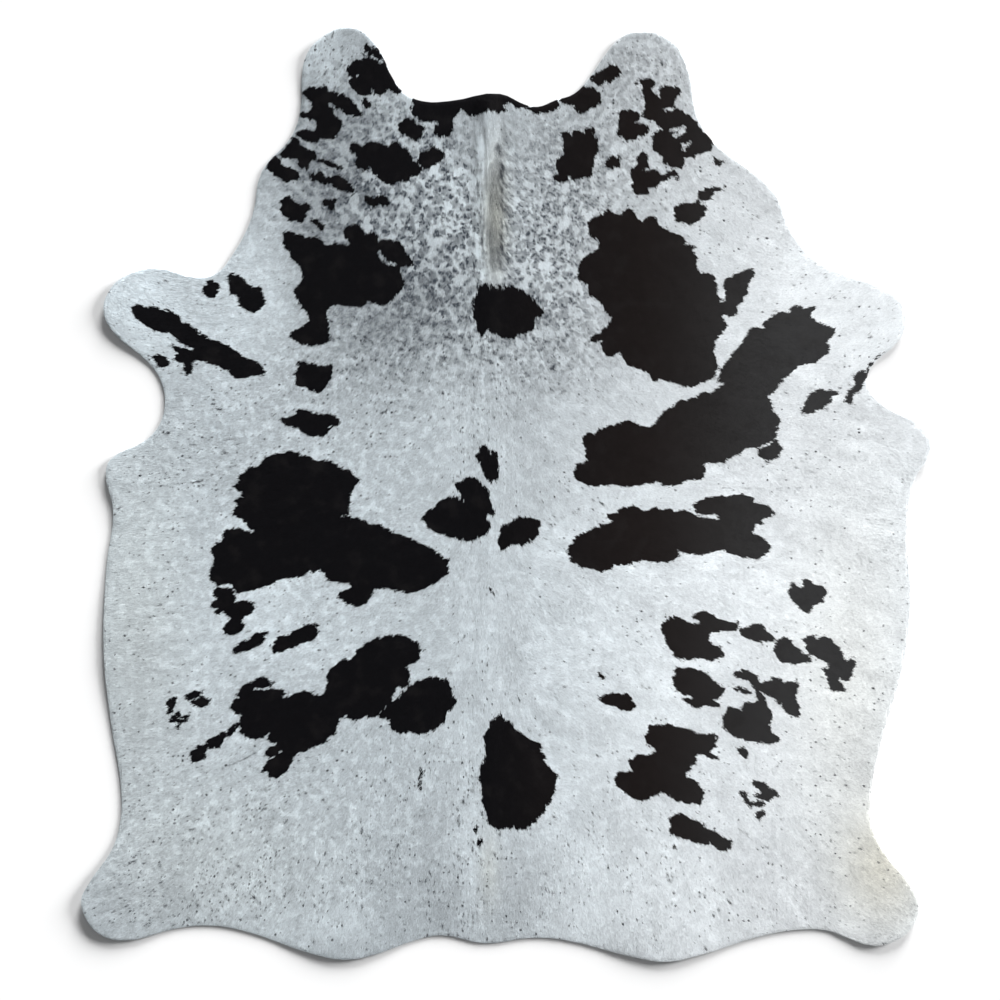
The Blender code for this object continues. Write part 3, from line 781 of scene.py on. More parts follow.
def painted(soft_touches, even=0.0):
    """The sum of soft round touches on the coarse grid, over an even tone."""
    across, along = np.meshgrid(
        GRID_LEFT + COARSE * np.arange(COARSE_COLUMNS), GRID_LOW + COARSE * np.arange(COARSE_ROWS))
    tone = np.full(across.shape, even)
    for touch in soft_touches:
        middle = chart_to_metres([(touch.column, touch.row)])[0]
        right, up = (across - middle[0]) / CHART_SQUARE, (along - middle[1]) / CHART_SQUARE
        lean = math.radians(touch.lean)
        along_lean = right * math.cos(lean) + up * math.sin(lean)
        over_lean = up * math.cos(lean) - right * math.sin(lean)
        tone += touch.amount * np.exp(-0.5 * ((along_lean / touch.wide) ** 2 + (over_lean / touch.tall) ** 2))
    return tone


def painted_finely(soft_touches, even=0.0):
    """The same, read for every mark of the fine grid."""
    return read(painted(soft_touches, even), ACROSS, ALONG, COARSE)


print("soft touches are laid", round(COARSE / MM, 1), "mm apart")

# %% [markdown]
# ## Which way the coat lies
# The coat runs from the neck to the tail along the spine, and from the spine outwards over the flanks and
# legs. Pins like those on a grooming chart give the direction at some seventy places, and between them it
# turns smoothly.

# %% Pins of the lying coat
Pin = namedtuple("Pin", "column row right up")
PINS = [Pin(*pin) for pin in (
    (484, 110, 0.1, -1), (486, 160, 0, -1), (486, 220, 0, -1), (486, 300, 0, -1), (486, 380, 0, -1),
    (487, 460, 0, -1), (489, 540, 0, -1), (486, 620, 0, -1), (484, 700, 0, -1), (484, 780, 0, -1),
    (484, 860, 0, -1), (484, 930, 0, -1),
    (440, 130, -0.2, -1), (400, 130, -0.4, -0.9), (340, 70, -0.5, -0.85), (320, 120, -0.6, -0.75),
    (440, 240, -0.2, -1), (350, 200, -0.6, -0.8), (280, 220, -0.8, -0.55), (512, 150, 0.9, -0.45),
    (512, 200, 0.9, -0.45), (512, 250, 0.9, -0.45), (479, 140, 0, -1), (479, 190, 0, -1), (480, 245, 0, -1),
    (540, 150, 0.3, -1), (540, 240, 0.3, -1), (600, 130, 0.4, -0.9), (650, 70, 0.5, -0.85),
    (680, 130, 0.6, -0.75), (620, 200, 0.6, -0.8), (720, 210, 0.8, -0.55),
    (440, 340, -0.5, -0.85), (400, 430, -0.8, -0.6), (330, 300, -0.75, -0.65), (240, 300, -0.9, -0.3),
    (180, 320, -0.92, 0.2), (120, 300, -0.92, 0.39), (180, 400, -0.95, -0.15),
    (530, 350, 0.5, -0.85), (580, 430, 0.85, -0.5), (650, 300, 0.75, -0.65), (740, 300, 0.9, -0.25),
    (810, 300, 0.9, 0.25), (880, 310, 0.85, 0.5), (820, 400, 0.95, -0.1),
    (140, 500, -0.97, -0.2), (130, 620, -0.98, -0.2), (140, 760, -0.93, -0.35), (300, 500, -0.95, -0.25),
    (300, 620, -0.93, -0.35), (300, 740, -0.85, -0.5), (420, 540, -0.95, -0.3), (430, 640, -0.9, -0.3),
    (120, 890, -0.88, -0.45), (230, 900, -0.5, -0.85), (370, 900, -0.25, -0.97), (440, 740, -0.4, -0.9),
    (430, 830, -0.3, -0.95),
    (870, 500, 0.97, -0.2), (880, 620, 0.98, -0.2), (860, 760, 0.93, -0.35), (690, 440, 0.95, -0.25),
    (680, 540, 0.97, -0.15), (700, 640, 0.88, -0.45), (700, 760, 0.85, -0.5), (550, 560, 0.95, -0.25),
    (560, 660, 0.98, -0.15), (545, 770, 0.9, -0.3), (515, 810, 0.3, -0.95), (880, 890, 0.88, -0.45),
    (760, 900, 0.55, -0.83), (620, 900, 0.3, -0.95), (540, 900, 0.15, -0.97),
)]
print(len(PINS), "pins set the lie of the coat")

# %% [markdown]
# The nearer a pin, the more it counts. A coarse grid is enough for that. The strip left of the mane is held
# straight, because there the hair is combed down the spine in lines.

# %% Direction field between the pins
PIN_REACH = 45 * MM
FLOW_GRID = 20 * MM
STRAIGHT_BY_THE_MANE = touches((488, 205, 7, 55, 1.1))

flow_columns = int(COLUMNS * GRID / FLOW_GRID) + 2
flow_rows = int(ROWS * GRID / FLOW_GRID) + 2
flow_across, flow_along = np.meshgrid(
    GRID_LEFT + FLOW_GRID * np.arange(flow_columns), GRID_LOW + FLOW_GRID * np.arange(flow_rows))
flow_right = np.zeros(flow_across.shape)
flow_up = np.zeros(flow_across.shape)
for pin in PINS:
    place = chart_to_metres([(pin.column, pin.row)])[0]
    apart = np.hypot(flow_across - place[0], flow_along - place[1])
    weight = 1 / (apart ** 3 + PIN_REACH ** 3)
    flow_right += weight * pin.right
    flow_up += weight * pin.up
FLOW_UP = read(flow_up, ACROSS, ALONG, FLOW_GRID)
FLOW_RIGHT = read(flow_right, ACROSS, ALONG, FLOW_GRID)
FLOW_RIGHT = FLOW_RIGHT * (1 - np.clip(painted_finely(STRAIGHT_BY_THE_MANE), 0, 1))
flow_length = np.hypot(FLOW_RIGHT, FLOW_UP)
FLOW_RIGHT, FLOW_UP = FLOW_RIGHT / flow_length, FLOW_UP / flow_length
print("the lie turns between", flow_columns, "by", flow_rows, "marks")

# %% [markdown]
# ## Uneven noise that is combed
# Hair lies in locks, so what is uneven in a coat is drawn out along its lie. Plain soft noise is made on the
# grid and then averaged along the direction field, which leaves streaks as long as the averaging is. Averaged
# across the lie instead, it places the short painted shadows that rows of overlapping hair tips cast.

# %% Soft noise, plain and combed
NOISE_SEED = 41


def soft_noise(cell, seed):
    """Smooth noise of mean 0 and deviation 1, with bumps about one cell wide."""
    random = np.random.default_rng([NOISE_SEED, seed])
    rows, columns = int(ROWS * GRID / cell) + 3, int(COLUMNS * GRID / cell) + 3
    marks = random.standard_normal((rows, columns))
    column, row = (ACROSS[0] - GRID_LEFT) / cell, (ALONG[:, 0] - GRID_LOW) / cell
    left, low = column.astype(int), row.astype(int)
    right_share, up_share = column - left, (row - low)[:, None]
    right_share = right_share ** 2 * (3 - 2 * right_share)
    up_share = up_share ** 2 * (3 - 2 * up_share)
    lower = marks[low][:, left] * (1 - right_share) + marks[low][:, left + 1] * right_share
    upper = marks[low + 1][:, left] * (1 - right_share) + marks[low + 1][:, left + 1] * right_share
    noise = lower * (1 - up_share) + upper * up_share
    return noise / noise.std()


def combed(noise, reach, steps=4, crosswise=False):
    """The noise averaged along the lie of the coat or across it, reach to either side."""
    total = noise.copy()
    for side in (-1, 1):
        x, y = ACROSS.copy(), ALONG.copy()
        for _ in range(steps):
            right, up = read(FLOW_RIGHT, x, y), read(FLOW_UP, x, y)
            if crosswise:
                right, up = up, -right
            x += side * right * reach / steps
            y += side * up * reach / steps
            total += read(noise, x, y)
    return total / total.std()


LOCKS = combed(soft_noise(5 * MM, 1), 14 * MM)
RAGGED = combed(soft_noise(4 * MM, 2), 6 * MM)
STREAKS = combed(soft_noise(2.5 * MM, 5), 10 * MM)
SPECKS = combed(soft_noise(2.6 * MM, 6), 4 * MM)
LINES = combed(soft_noise(2.2 * MM, 7), 24 * MM, steps=8)
TIP_SHADOWS = combed(soft_noise(2.1 * MM, 8), 5 * MM, crosswise=True)
BROAD = combed(soft_noise(22 * MM, 3), 30 * MM)
CLOUDS = soft_noise(90 * MM, 4)
print("eight kinds of soft noise are ready")

# %% [markdown]
# ## The dark patches as one field
# Each ring of chart points becomes a smooth closed curve. The field holds the distance to the nearest patch
# edge, above zero in a patch. Adding a little combed noise to it frays the edges along the lie of the coat,
# as the real ones are. The pale tongues are cut last, so that the fraying doesn't close them.

# %% Smooth rings and their distances
RING_STEPS = 3
RAGGED_DEPTH = 1.7 * MM
TONGUE_RAGGED_DEPTH = 0.85 * MM
PATCH_FULLER = 0.6 * MM
PATCH_REACH = 24 * MM


def smooth_ring(points):
    """A closed Catmull-Rom curve through the points, with a few steps between them."""
    ring = []
    before, start, end, after = (np.roll(points, shift, axis=0) for shift in (1, 0, -1, -2))
    for step in range(RING_STEPS):
        t = step / RING_STEPS
        bend = (2 * before - 5 * start + 4 * end - after) * t ** 2
        twist = (3 * start - before - 3 * end + after) * t ** 3
        ring.append(0.5 * (2 * start + (end - before) * t + bend + twist))
    return np.stack(ring, axis=1).reshape(-1, 2)


def around_stroke(stroke):
    """The distance from a stroke's middle line, and half its width, in metres."""
    distance = distance_to_line(chart_to_metres(stroke.points), closed=False, reach=PATCH_REACH)
    return distance, stroke.width * CHART_SQUARE / 2


PATCH = np.full(ACROSS.shape, -PATCH_REACH)
for ring in PATCHES:
    points = smooth_ring(chart_to_metres(ring))
    distance = distance_to_line(points, closed=True, reach=PATCH_REACH)
    PATCH = np.maximum(PATCH, np.where(is_inside(points), distance, -distance))
for stroke in DARK_STROKES:
    distance, half_width = around_stroke(stroke)
    PATCH = np.maximum(PATCH, half_width - distance)
PATCH = PATCH + RAGGED_DEPTH * RAGGED + PATCH_FULLER
for stroke in PALE_TONGUES:
    distance, half_width = around_stroke(stroke)
    PATCH = np.minimum(PATCH, distance - half_width + TONGUE_RAGGED_DEPTH * RAGGED)
dark_share = (PATCH[inside_hide] > 0).mean()
print("dark patches cover", round(100 * dark_share, 1), "% of the hide")

# %% [markdown]
# ## Tones of the pale coat
# The pale coat isn't one white. The neck is grey, the left half is painted cooler and greyer than the right as
# painted shade, and the right flank and foreleg are painted nearly white as light from the upper right. The
# broad tones come first, and the smaller ones mend them from place to place, as in a painting.

# %% How white the coat is
WHITENESS_EVEN = 0.645
WHITENESS = touches(
    # Broad tones: the grey neck, and the right flank and hind part whiter as painted light from the upper right
    (760, 620, 260, 420, 0.07), (400, 230, 70, 110, -0.22, 10), (560, 230, 45, 110, -0.16, -10),
    (870, 580, 120, 170, 0.12), (720, 720, 120, 140, 0.06),
    # Neck and flaps
    (690, 180, 60, 60, -0.02, 30), (482, 215, 4, 90, 0.42), (500, 130, 40, 30, -0.10),
    (320, 130, 45, 60, -0.20), (365, 40, 20, 25, -0.08), (322, 62, 25, 30, 0.24),
    (655, 50, 35, 25, -0.03), (350, 190, 40, 40, -0.06), (290, 210, 50, 50, -0.10),
    (365, 20, 20, 20, -0.12), (320, 215, 25, 25, -0.06), (280, 225, 25, 25, -0.04),
    (450, 200, 20, 30, 0.09), (515, 150, 20, 25, -0.05), (650, 50, 30, 25, 0.03),
    (275, 225, 25, 20, 0.04), (735, 225, 40, 25, 0.04),
    # Shoulders and forelegs
    (860, 330, 70, 50, 0.03), (330, 330, 60, 60, -0.10), (430, 330, 60, 50, -0.12),
    (545, 330, 40, 50, -0.08), (180, 480, 60, 14, -0.05), (225, 440, 40, 16, -0.05),
    (495, 278, 9, 5, 0.10), (140, 290, 60, 50, 0.13), (530, 250, 70, 70, 0.06), (265, 260, 30, 50, 0.20),
    (545, 450, 30, 40, -0.05), (750, 390, 60, 40, -0.06), (450, 410, 25, 25, 0.05),
    (210, 260, 60, 40, -0.06), (430, 290, 50, 40, -0.08), (760, 270, 70, 60, 0.07),
    (455, 380, 25, 40, 0.06), (905, 480, 20, 30, 0.08), (710, 265, 30, 30, -0.06),
    (850, 415, 30, 20, -0.06), (780, 362, 35, 20, 0.05), (515, 362, 25, 25, 0.05),
    # Two thin touches on this line, at rows 480 and 440, are painted shade in the left armpit's creases.
    (110, 260, 25, 25, -0.06), (455, 345, 35, 25, 0.03), (180, 395, 40, 25, -0.03),
    (545, 355, 40, 25, 0.04), (755, 405, 30, 20, -0.06),
    # Back and flanks
    (485, 650, 9, 40, 0.06), (330, 740, 60, 60, -0.07), (120, 540, 40, 60, 0.06),
    (400, 560, 60, 80, -0.04), (450, 790, 25, 50, -0.07), (275, 600, 60, 60, 0.06),
    (885, 560, 40, 60, -0.08), (885, 575, 25, 20, 0.06), (855, 765, 30, 30, -0.07),
    (560, 670, 30, 30, -0.07), (125, 740, 30, 90, -0.06), (215, 510, 20, 25, -0.06),
    (125, 625, 30, 30, -0.04),
    # Rump and hind legs
    (440, 905, 12, 45, -0.07), (522, 895, 16, 40, -0.07), (475, 895, 6, 50, 0.08),
    (400, 900, 40, 50, -0.10), (470, 920, 50, 40, -0.08), (150, 920, 50, 40, -0.16),
    (690, 870, 70, 50, 0.08), (620, 955, 20, 12, -0.10), (350, 955, 40, 14, -0.16),
    (120, 880, 30, 30, -0.04), (890, 870, 30, 30, -0.08), (650, 815, 40, 30, -0.06),
    (293, 889, 3.5, 3, -0.25), (720, 815, 25, 25, -0.06), (600, 900, 30, 30, 0.04),
    (500, 915, 30, 25, -0.05), (230, 850, 60, 40, 0.02),
)
print(len(WHITENESS), "touches of whiteness")

# %% [markdown]
# Some of the coat is creamy: most of all the right hind leg, and a little the mane and the flanks. The neck
# is ticked with grey spots, the other pale parts are mottled with white clouds, and small dark flecks lie all
# over, most of them on the flaps, the lower neck and the hind legs. A minus keeps the spots off the mane.

# %% Cream, ticking, mottling and flecks
CREAM = touches(
    (885, 865, 30, 40, 0.90), (489, 870, 7, 26, 0.40), (200, 860, 90, 60, 0.15),
    (130, 620, 40, 120, 0.22), (496, 215, 8, 40, 1.00), (850, 700, 40, 120, 0.25),
)
TICKING = touches(
    (430, 210, 55, 75, 1.00, 15), (560, 230, 40, 80, 0.72, -10), (350, 70, 45, 30, 0.14),
    (350, 200, 60, 60, 0.35), (430, 310, 60, 45, 0.36), (560, 320, 40, 45, 0.28),
    (630, 130, 60, 50, 0.18), (320, 160, 50, 60, 0.25), (650, 60, 40, 30, 0.28), (492, 200, 7, 80, -0.80),
)
MOTTLING_EVEN = 0.25
MOTTLING = touches(
    (330, 410, 110, 120, 0.70), (200, 850, 140, 90, 0.25), (380, 820, 120, 80, 0.25),
    (620, 130, 80, 60, 0.40), (640, 860, 120, 70, 0.20), (250, 620, 140, 160, 0.45),
    (640, 630, 140, 110, 0.18),
)
FLECKS_EVEN = 0.03
FLECKS = touches(
    (180, 860, 110, 70, 0.28), (330, 880, 130, 60, 0.18), (320, 440, 130, 60, 0.15),
    (200, 440, 60, 40, 0.20), (160, 320, 50, 40, 0.10), (870, 340, 50, 40, 0.10), (650, 70, 50, 40, 0.15),
    # Two thin touches on this line, at rows 448 and 484, crowd flecks along the left armpit's creases as
    # painted shade.
    (620, 160, 60, 40, 0.28), (335, 75, 45, 45, 0.45), (210, 448, 45, 6, 0.35), (190, 484, 35, 4, 0.30),
    (430, 360, 60, 28, 0.12), (560, 350, 50, 30, 0.12), (150, 640, 60, 120, 0.04),
    (320, 620, 90, 60, 0.08), (790, 460, 50, 20, 0.10), (800, 850, 90, 70, 0.10),
    (600, 880, 120, 60, 0.10), (450, 780, 60, 60, 0.08), (720, 230, 60, 40, 0.10),
    (130, 740, 40, 80, 0.08), (620, 620, 150, 120, 0.07), (850, 690, 40, 90, 0.08),
    (120, 560, 40, 60, 0.06),
)
CREAM_TONE = np.clip(painted(CREAM), 0, 1)
TICKED = np.clip(painted(TICKING), 0, 1)
MOTTLED = np.clip(painted(MOTTLING, MOTTLING_EVEN), 0, 1)
print("ticking is strongest at", round(TICKED.max(), 2))

# %% [markdown]
# Locks show as streaks beside the mane, as long lines on the spine, and as short painted shadows across the lie
# on the lower neck, which rows of overlapping hair tips cast. Each is its own noise, let through where it is
# painted. The mane's dark bar is drawn as strokes with soft sides; scars and painted crease shade as faint
# broken strokes.

# %% Streaks, lines and shades
STREAKED = touches(
    (504, 210, 4, 50, 0.26), (515, 205, 9, 60, 0.08), (460, 200, 12, 60, 0.06), (430, 355, 70, 32, 0.05),
    (560, 355, 60, 35, 0.05), (200, 850, 130, 80, 0.04), (300, 620, 130, 130, 0.02),
)
TIP_SHADOW_PAINTED = touches(
    (425, 350, 60, 34, 0.52), (540, 355, 60, 34, 0.48), (330, 330, 50, 60, 0.16),
    (200, 870, 120, 60, 0.16), (380, 860, 100, 60, 0.14), (300, 600, 120, 100, 0.06),
)
TIP_SHADOWS_FROM = 0.9
LINED = touches(
    (482, 200, 3.5, 75, 0.34), (484, 320, 4, 40, 0.08), (472, 910, 6, 50, 0.08),
)
CLOUD_TONE = 0.02
BROAD_TONE = 0.015
MANE_SHADE_DEPTH = 0.31
MANE_SHADE_UNEVEN = 0.05
MANE_SHADE_SOFT = 2.5 * CHART_SQUARE
FAINT_DEPTH = 0.32
FAINT_CORE = 1.3
FAINT_WHOLE = 0.5
FAINT_MOST = 1.5

WHITE_TONE = painted_finely(WHITENESS, WHITENESS_EVEN) + CLOUD_TONE * CLOUDS + BROAD_TONE * BROAD
WHITE_TONE += painted_finely(STREAKED) * STREAKS
WHITE_TONE += painted_finely(LINED) * LINES
# Painted shadows of hair tips: the coat is darkened where the crosswise noise peaks.
WHITE_TONE -= painted_finely(TIP_SHADOW_PAINTED) * np.maximum(TIP_SHADOWS - TIP_SHADOWS_FROM, 0)
mane_dark = np.zeros(ACROSS.shape)
for stroke in MANE_SHADES:
    distance, half_width = around_stroke(stroke)
    mane_dark = np.maximum(mane_dark, np.clip((half_width - distance) / MANE_SHADE_SOFT + 0.5, 0, 1))
WHITE_TONE -= mane_dark * (MANE_SHADE_DEPTH - MANE_SHADE_UNEVEN * np.minimum(BROAD, 0))
# Scars, a whorl and painted shade in creases darken the coat along their strokes.
for stroke in SCARS_AND_CREASE_SHADES:
    distance, half_width = around_stroke(stroke)
    closeness = np.clip(FAINT_CORE - distance / half_width, 0, 1)
    WHITE_TONE -= FAINT_DEPTH * closeness * np.clip(FAINT_WHOLE + RAGGED, 0, FAINT_MOST)
print("the pale coat's whiteness runs from", round(WHITE_TONE.min(), 2), "to", round(WHITE_TONE.max(), 2))

# %% [markdown]
# Flecks come in loose groups, so the broad noise makes them rarer or commoner. The longer ones are the peaks
# of a combed noise. The more flecks a place has, the lower the peaks that count.

# %% Flecks and the longer specks
FLECKS_UNEVEN = 0.6
FLECKS_LEAST = 0.1
FLECKS_MOST = 2.5
SPECKS_RARE = 2.9
SPECKS_MORE = 3.3
SPECKS_MOST = 0.33
SPECKS_CRISP = 2.2

FLECKED = painted_finely(FLECKS, FLECKS_EVEN) * np.clip(1 + FLECKS_UNEVEN * BROAD, FLECKS_LEAST, FLECKS_MOST)
speck_peaks = SPECKS - SPECKS_RARE + SPECKS_MORE * np.clip(FLECKED, 0, SPECKS_MOST)
SPECKLED = np.clip(speck_peaks * SPECKS_CRISP, 0, 1)
print("specks cover", round(100 * (SPECKLED[inside_hide] > 0.5).mean(), 2), "% of the hide")

# %% [markdown]
# ## The skin
# The flat sheet is cut into small squares with bisect_plane, strip by strip, so that each cut only visits
# what is still uncut. A narrow band along the cut edge is inset first, so that the edge keeps its own faces.

# %% Cut the sheet into squares
SKIN_SQUARE = 9 * MM
RIM_WIDTH = 3 * MM


def parts_past(parts, axis, limit):
    """The faces past a cut, with their edges and points."""
    faces = [f for f in parts if isinstance(f, bmesh.types.BMFace) and f.calc_center_bounds()[axis] > limit]
    edges = dict.fromkeys(edge for face in faces for edge in face.edges)
    points = dict.fromkeys(point for face in faces for point in face.verts)
    return [*faces, *edges, *points]


def cut_evenly(form, axis, low, high, step):
    """Cuts the whole form across one axis at even steps."""
    rest = parts_past(form.faces, axis, low)
    normal = Vector((0, 0, 0))
    normal[axis] = 1
    for number in range(1, int((high - low) / step) + 1):
        place = normal * (low + number * step)
        cut = bmesh.ops.bisect_plane(form, geom=rest, plane_co=place, plane_no=normal, dist=WELD)
        rest = parts_past(cut["geom"], axis, low + number * step)


bmesh.ops.inset_region(sheet, faces=sheet.faces, thickness=RIM_WIDTH, use_even_offset=True)
cut_evenly(sheet, 0, CAD_BOX[0][0], CAD_BOX[1][0], SKIN_SQUARE)
cut_evenly(sheet, 1, CAD_BOX[0][1], CAD_BOX[1][1], SKIN_SQUARE)
print("the sheet now has", len(sheet.faces), "faces")

# %% [markdown]
# On the real rug the coat stands a few millimetres over the leather, and rounds off to the cut edge. The
# packed top says how high it stands in all. The leather fills what is left under the coat, and isn't quite
# even.

# %% Lift the sheet to just under the coat
COAT_AT_EDGE = 3.4 * MM
COAT_FULL = 5.0 * MM
COAT_ROUNDS = 5 * MM
COAT_OVER_SKIN = 1.0 * MM
THINNEST_SKIN = 1.2 * MM
SKIN_UNEVEN = 0.10 * MM
UNEVEN_MOST = 2


def coat_top(across, along):
    """How high the coat stands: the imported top, kept full until close to the cut edge."""
    share = np.clip(read(EDGE, across, along) / COAT_ROUNDS, 0, 1)
    full = COAT_AT_EDGE + (COAT_FULL - COAT_AT_EDGE) * np.sqrt(share * (2 - share))
    return np.maximum(read(TOP, across, along, COARSE), read(UNDER, across, along, COARSE) + full)


def leather_thickness(across, along):
    """How thick the leather is under the coat, before it gets uneven."""
    room = coat_top(across, along) - read(UNDER, across, along, COARSE)
    return np.maximum(room - COAT_OVER_SKIN, THINNEST_SKIN)


sheet_places = np.array([point.co[:] for point in sheet.verts])
x, y = sheet_places[:, 0], sheet_places[:, 1]
skin_thickness = leather_thickness(x, y)
skin_thickness += SKIN_UNEVEN * np.clip(read(LOCKS, x, y), -UNEVEN_MOST, UNEVEN_MOST)
for point, lift in zip(sheet.verts, read(UNDER, x, y, COARSE) + skin_thickness):
    point.co.z = lift
sheet.normal_update()
skin_mesh = bpy.data.meshes.new("hide_skin")
sheet.to_mesh(skin_mesh)
sheet.free()
skin = new_object("hide_skin", skin_mesh)
print("the leather is", round(skin_thickness.min() / MM, 2), "mm thick or more")

# %% [markdown]
# A sheet has no underside or edge yet. A Solidify modifier adds both, as thick at each point as a group of
# weights says, and gives the underside and the rim materials of their own.

# %% Give the skin its thickness
SKIN_FULL = 12 * MM

thickness_group = skin.vertex_groups.new(name="leather")
for number, share in enumerate(skin_thickness / SKIN_FULL):
    thickness_group.add([number], float(share), "REPLACE")
solidify = skin.modifiers.new("leather", "SOLIDIFY")
solidify.thickness = SKIN_FULL
solidify.offset = -1
solidify.vertex_group = "leather"
solidify.material_offset = 1
solidify.material_offset_rim = 2
skin_whole = bpy.data.meshes.new_from_object(skin.evaluated_get(bpy.context.evaluated_depsgraph_get()))
skin.modifiers.clear()
skin.data = skin_whole
skin_whole.name = "hide_skin"
print("the skin has", len(skin_whole.polygons), "faces")

# %% [markdown]
# ## The coat
# Cow hair is short and lies almost flat, so single triangles do: wide at the root, a point at the tip, each
# sunk into the skin and rising slowly over its neighbours. They are made as arrays and joined, because there
# are hundreds of thousands. A jittered grid spreads them evenly, and the direction field turns them.

# %% Places of the hairs
HAIR_SEED = 7
HAIR_APART = 1.99 * MM
ROOT_INSIDE = 0.3 * MM
CM = 10 * MM

hair_random = np.random.default_rng(HAIR_SEED)
columns = np.arange(CAD_BOX[0][0], CAD_BOX[1][0], HAIR_APART)
rows = np.arange(CAD_BOX[0][1], CAD_BOX[1][1], HAIR_APART)
root_x, root_y = (places.ravel() for places in np.meshgrid(columns, rows))
root_x = root_x + hair_random.uniform(-0.5, 0.5, root_x.size) * HAIR_APART
root_y = root_y + hair_random.uniform(-0.5, 0.5, root_y.size) * HAIR_APART
on_hide = read(EDGE, root_x, root_y) > ROOT_INSIDE
root_x, root_y = root_x[on_hide], root_y[on_hide]
HAIRS = root_x.size
print(HAIRS, "hairs on the hide,", round(HAIRS * CM * CM / FLAT_AREA, 1), "in each square centimetre")

# %% [markdown]
# Each hair turns a little from the lie of the coat, and the hairs of a lock turn together. Those of the mane
# are longer and steadier. At the cut edge a hair is shortened until it ends just past the leather, because
# there the coat was cut with the hide.

# %% Direction and length of each hair
MANE = touches((484, 190, 8, 75, 1.0), (505, 210, 7, 60, 0.6))
MANE_STEADIER = 0.6
MANE_EXTRA = 5 * MM
HAIR_TURN = math.radians(9)
LOCK_TURN = math.radians(4.5)
HAIR_LENGTH = 8 * MM
HAIR_LENGTH_SPREAD = 0.16
SHORTEST = 0.6
LONGEST = 1.4
EDGE_OVERHANG = 0.4 * MM
STUMP = 0.15
NO_RUN = 1e-6

mane_share = np.clip(read(painted(MANE), root_x, root_y, COARSE), 0, 1)
turn = hair_random.normal(0, HAIR_TURN, HAIRS)
turn += LOCK_TURN * (read(LOCKS, root_x, root_y) + read(BROAD, root_x, root_y))
turn *= 1 - MANE_STEADIER * mane_share
lie_right, lie_up = read(FLOW_RIGHT, root_x, root_y), read(FLOW_UP, root_x, root_y)
aim_x = lie_right * np.cos(turn) - lie_up * np.sin(turn)
aim_y = lie_right * np.sin(turn) + lie_up * np.cos(turn)
length = HAIR_LENGTH * np.clip(hair_random.normal(1, HAIR_LENGTH_SPREAD, HAIRS), SHORTEST, LONGEST)
length += MANE_EXTRA * mane_share
edge_root = read(EDGE, root_x, root_y)
edge_tip = read(EDGE, root_x + aim_x * length, root_y + aim_y * length)
room_left = (edge_root + EDGE_OVERHANG) / np.maximum(edge_root - edge_tip, NO_RUN)
length *= np.where(edge_tip < -EDGE_OVERHANG, np.clip(room_left, STUMP, 1), 1)
print("hairs are", round(length.mean() / MM, 1), "mm long on average")

# %% [markdown]
# The root of a hair sits in the leather, and its tip lies at the top of the coat, a little over or under it.
# The tips of a lock rise together, which is what makes locks show. No hair stands up steeply.

# %% Corners of each hair
HAIR_WIDTH = 1.5 * MM
WIDTH_SPREAD = 0.25
MANE_FINER = 0.45
ROOT_SUNK = 0.3 * MM
TIP_OVER = 0.1 * MM
TIP_SPREAD = 0.12 * MM
LOCK_RISE = 0.07 * MM
MANE_RISE = 0.7 * MM
STEEPEST = 0.5
HAIR_ROLL = 0.12

tip_x, tip_y = root_x + aim_x * length, root_y + aim_y * length
root_z = read(UNDER, root_x, root_y, COARSE) + leather_thickness(root_x, root_y) - ROOT_SUNK
tip_z = coat_top(tip_x, tip_y) + TIP_OVER + hair_random.normal(0, TIP_SPREAD, HAIRS)
tip_z += LOCK_RISE * read(LOCKS, root_x, root_y) + MANE_RISE * mane_share
tip_z = np.minimum(tip_z, root_z + STEEPEST * length)
half_width = HAIR_WIDTH / 2 * hair_random.uniform(1 - WIDTH_SPREAD, 1 + WIDTH_SPREAD, HAIRS)
half_width *= 1 - MANE_FINER * mane_share
roll = hair_random.normal(0, HAIR_ROLL, HAIRS) * half_width
corners = np.empty((HAIRS, 3, 3), np.float32)
corners[:, 0] = np.stack([root_x - aim_y * half_width, root_y + aim_x * half_width, root_z + roll], axis=-1)
corners[:, 1] = np.stack([root_x + aim_y * half_width, root_y - aim_x * half_width, root_z - roll], axis=-1)
corners[:, 2] = np.stack([tip_x, tip_y, tip_z], axis=-1)
print("tips rise", round((tip_z - root_z).mean() / MM, 2), "mm over their roots")

# %% [markdown]
# ## What each point knows
# Materials read the markings from attributes, so a hair has one colour over its whole length, as a real one
# does. The skin under the coat knows them too, so that it doesn't shine through between the hairs.

# %% Attributes for hairs and skin
MIDDLE_STRAND = 0.5


def set_attribute(mesh, name, values, kind="FLOAT"):
    """Stores one value, or one vector, for each point of the mesh."""
    attribute = mesh.attributes.new(name, kind, "POINT")
    stored = np.ascontiguousarray(values, np.float32).ravel()
    attribute.data.foreach_set("value" if kind == "FLOAT" else "vector", stored)


def set_markings(mesh, across, along, repeat=1):
    """Stores the hide's markings at these places, each repeated for all points of a hair."""
    fields = {
        "patch": read(PATCH, across, along),
        "whiteness": read(WHITE_TONE, across, along),
        "cream": read(CREAM_TONE, across, along, COARSE),
        "ticked": read(TICKED, across, along, COARSE),
        "mottled": read(MOTTLED, across, along, COARSE),
        "flecked": read(FLECKED, across, along),
        "speckled": read(SPECKLED, across, along),
    }
    for name, values in fields.items():
        set_attribute(mesh, name, np.repeat(values, repeat))
    places = np.stack([across, along, np.zeros_like(across)], axis=-1)
    set_attribute(mesh, "place", np.repeat(places, repeat, axis=0), "FLOAT_VECTOR")


skin_points = np.empty(len(skin_whole.vertices) * 3, np.float32)
skin_whole.vertices.foreach_get("co", skin_points)
skin_points = skin_points.reshape(-1, 3)
set_markings(skin_whole, skin_points[:, 0], skin_points[:, 1])
set_attribute(skin_whole, "strand", np.full(len(skin_points), MIDDLE_STRAND))
print("the skin carries", [a.name for a in skin_whole.attributes if a.domain == "POINT"])

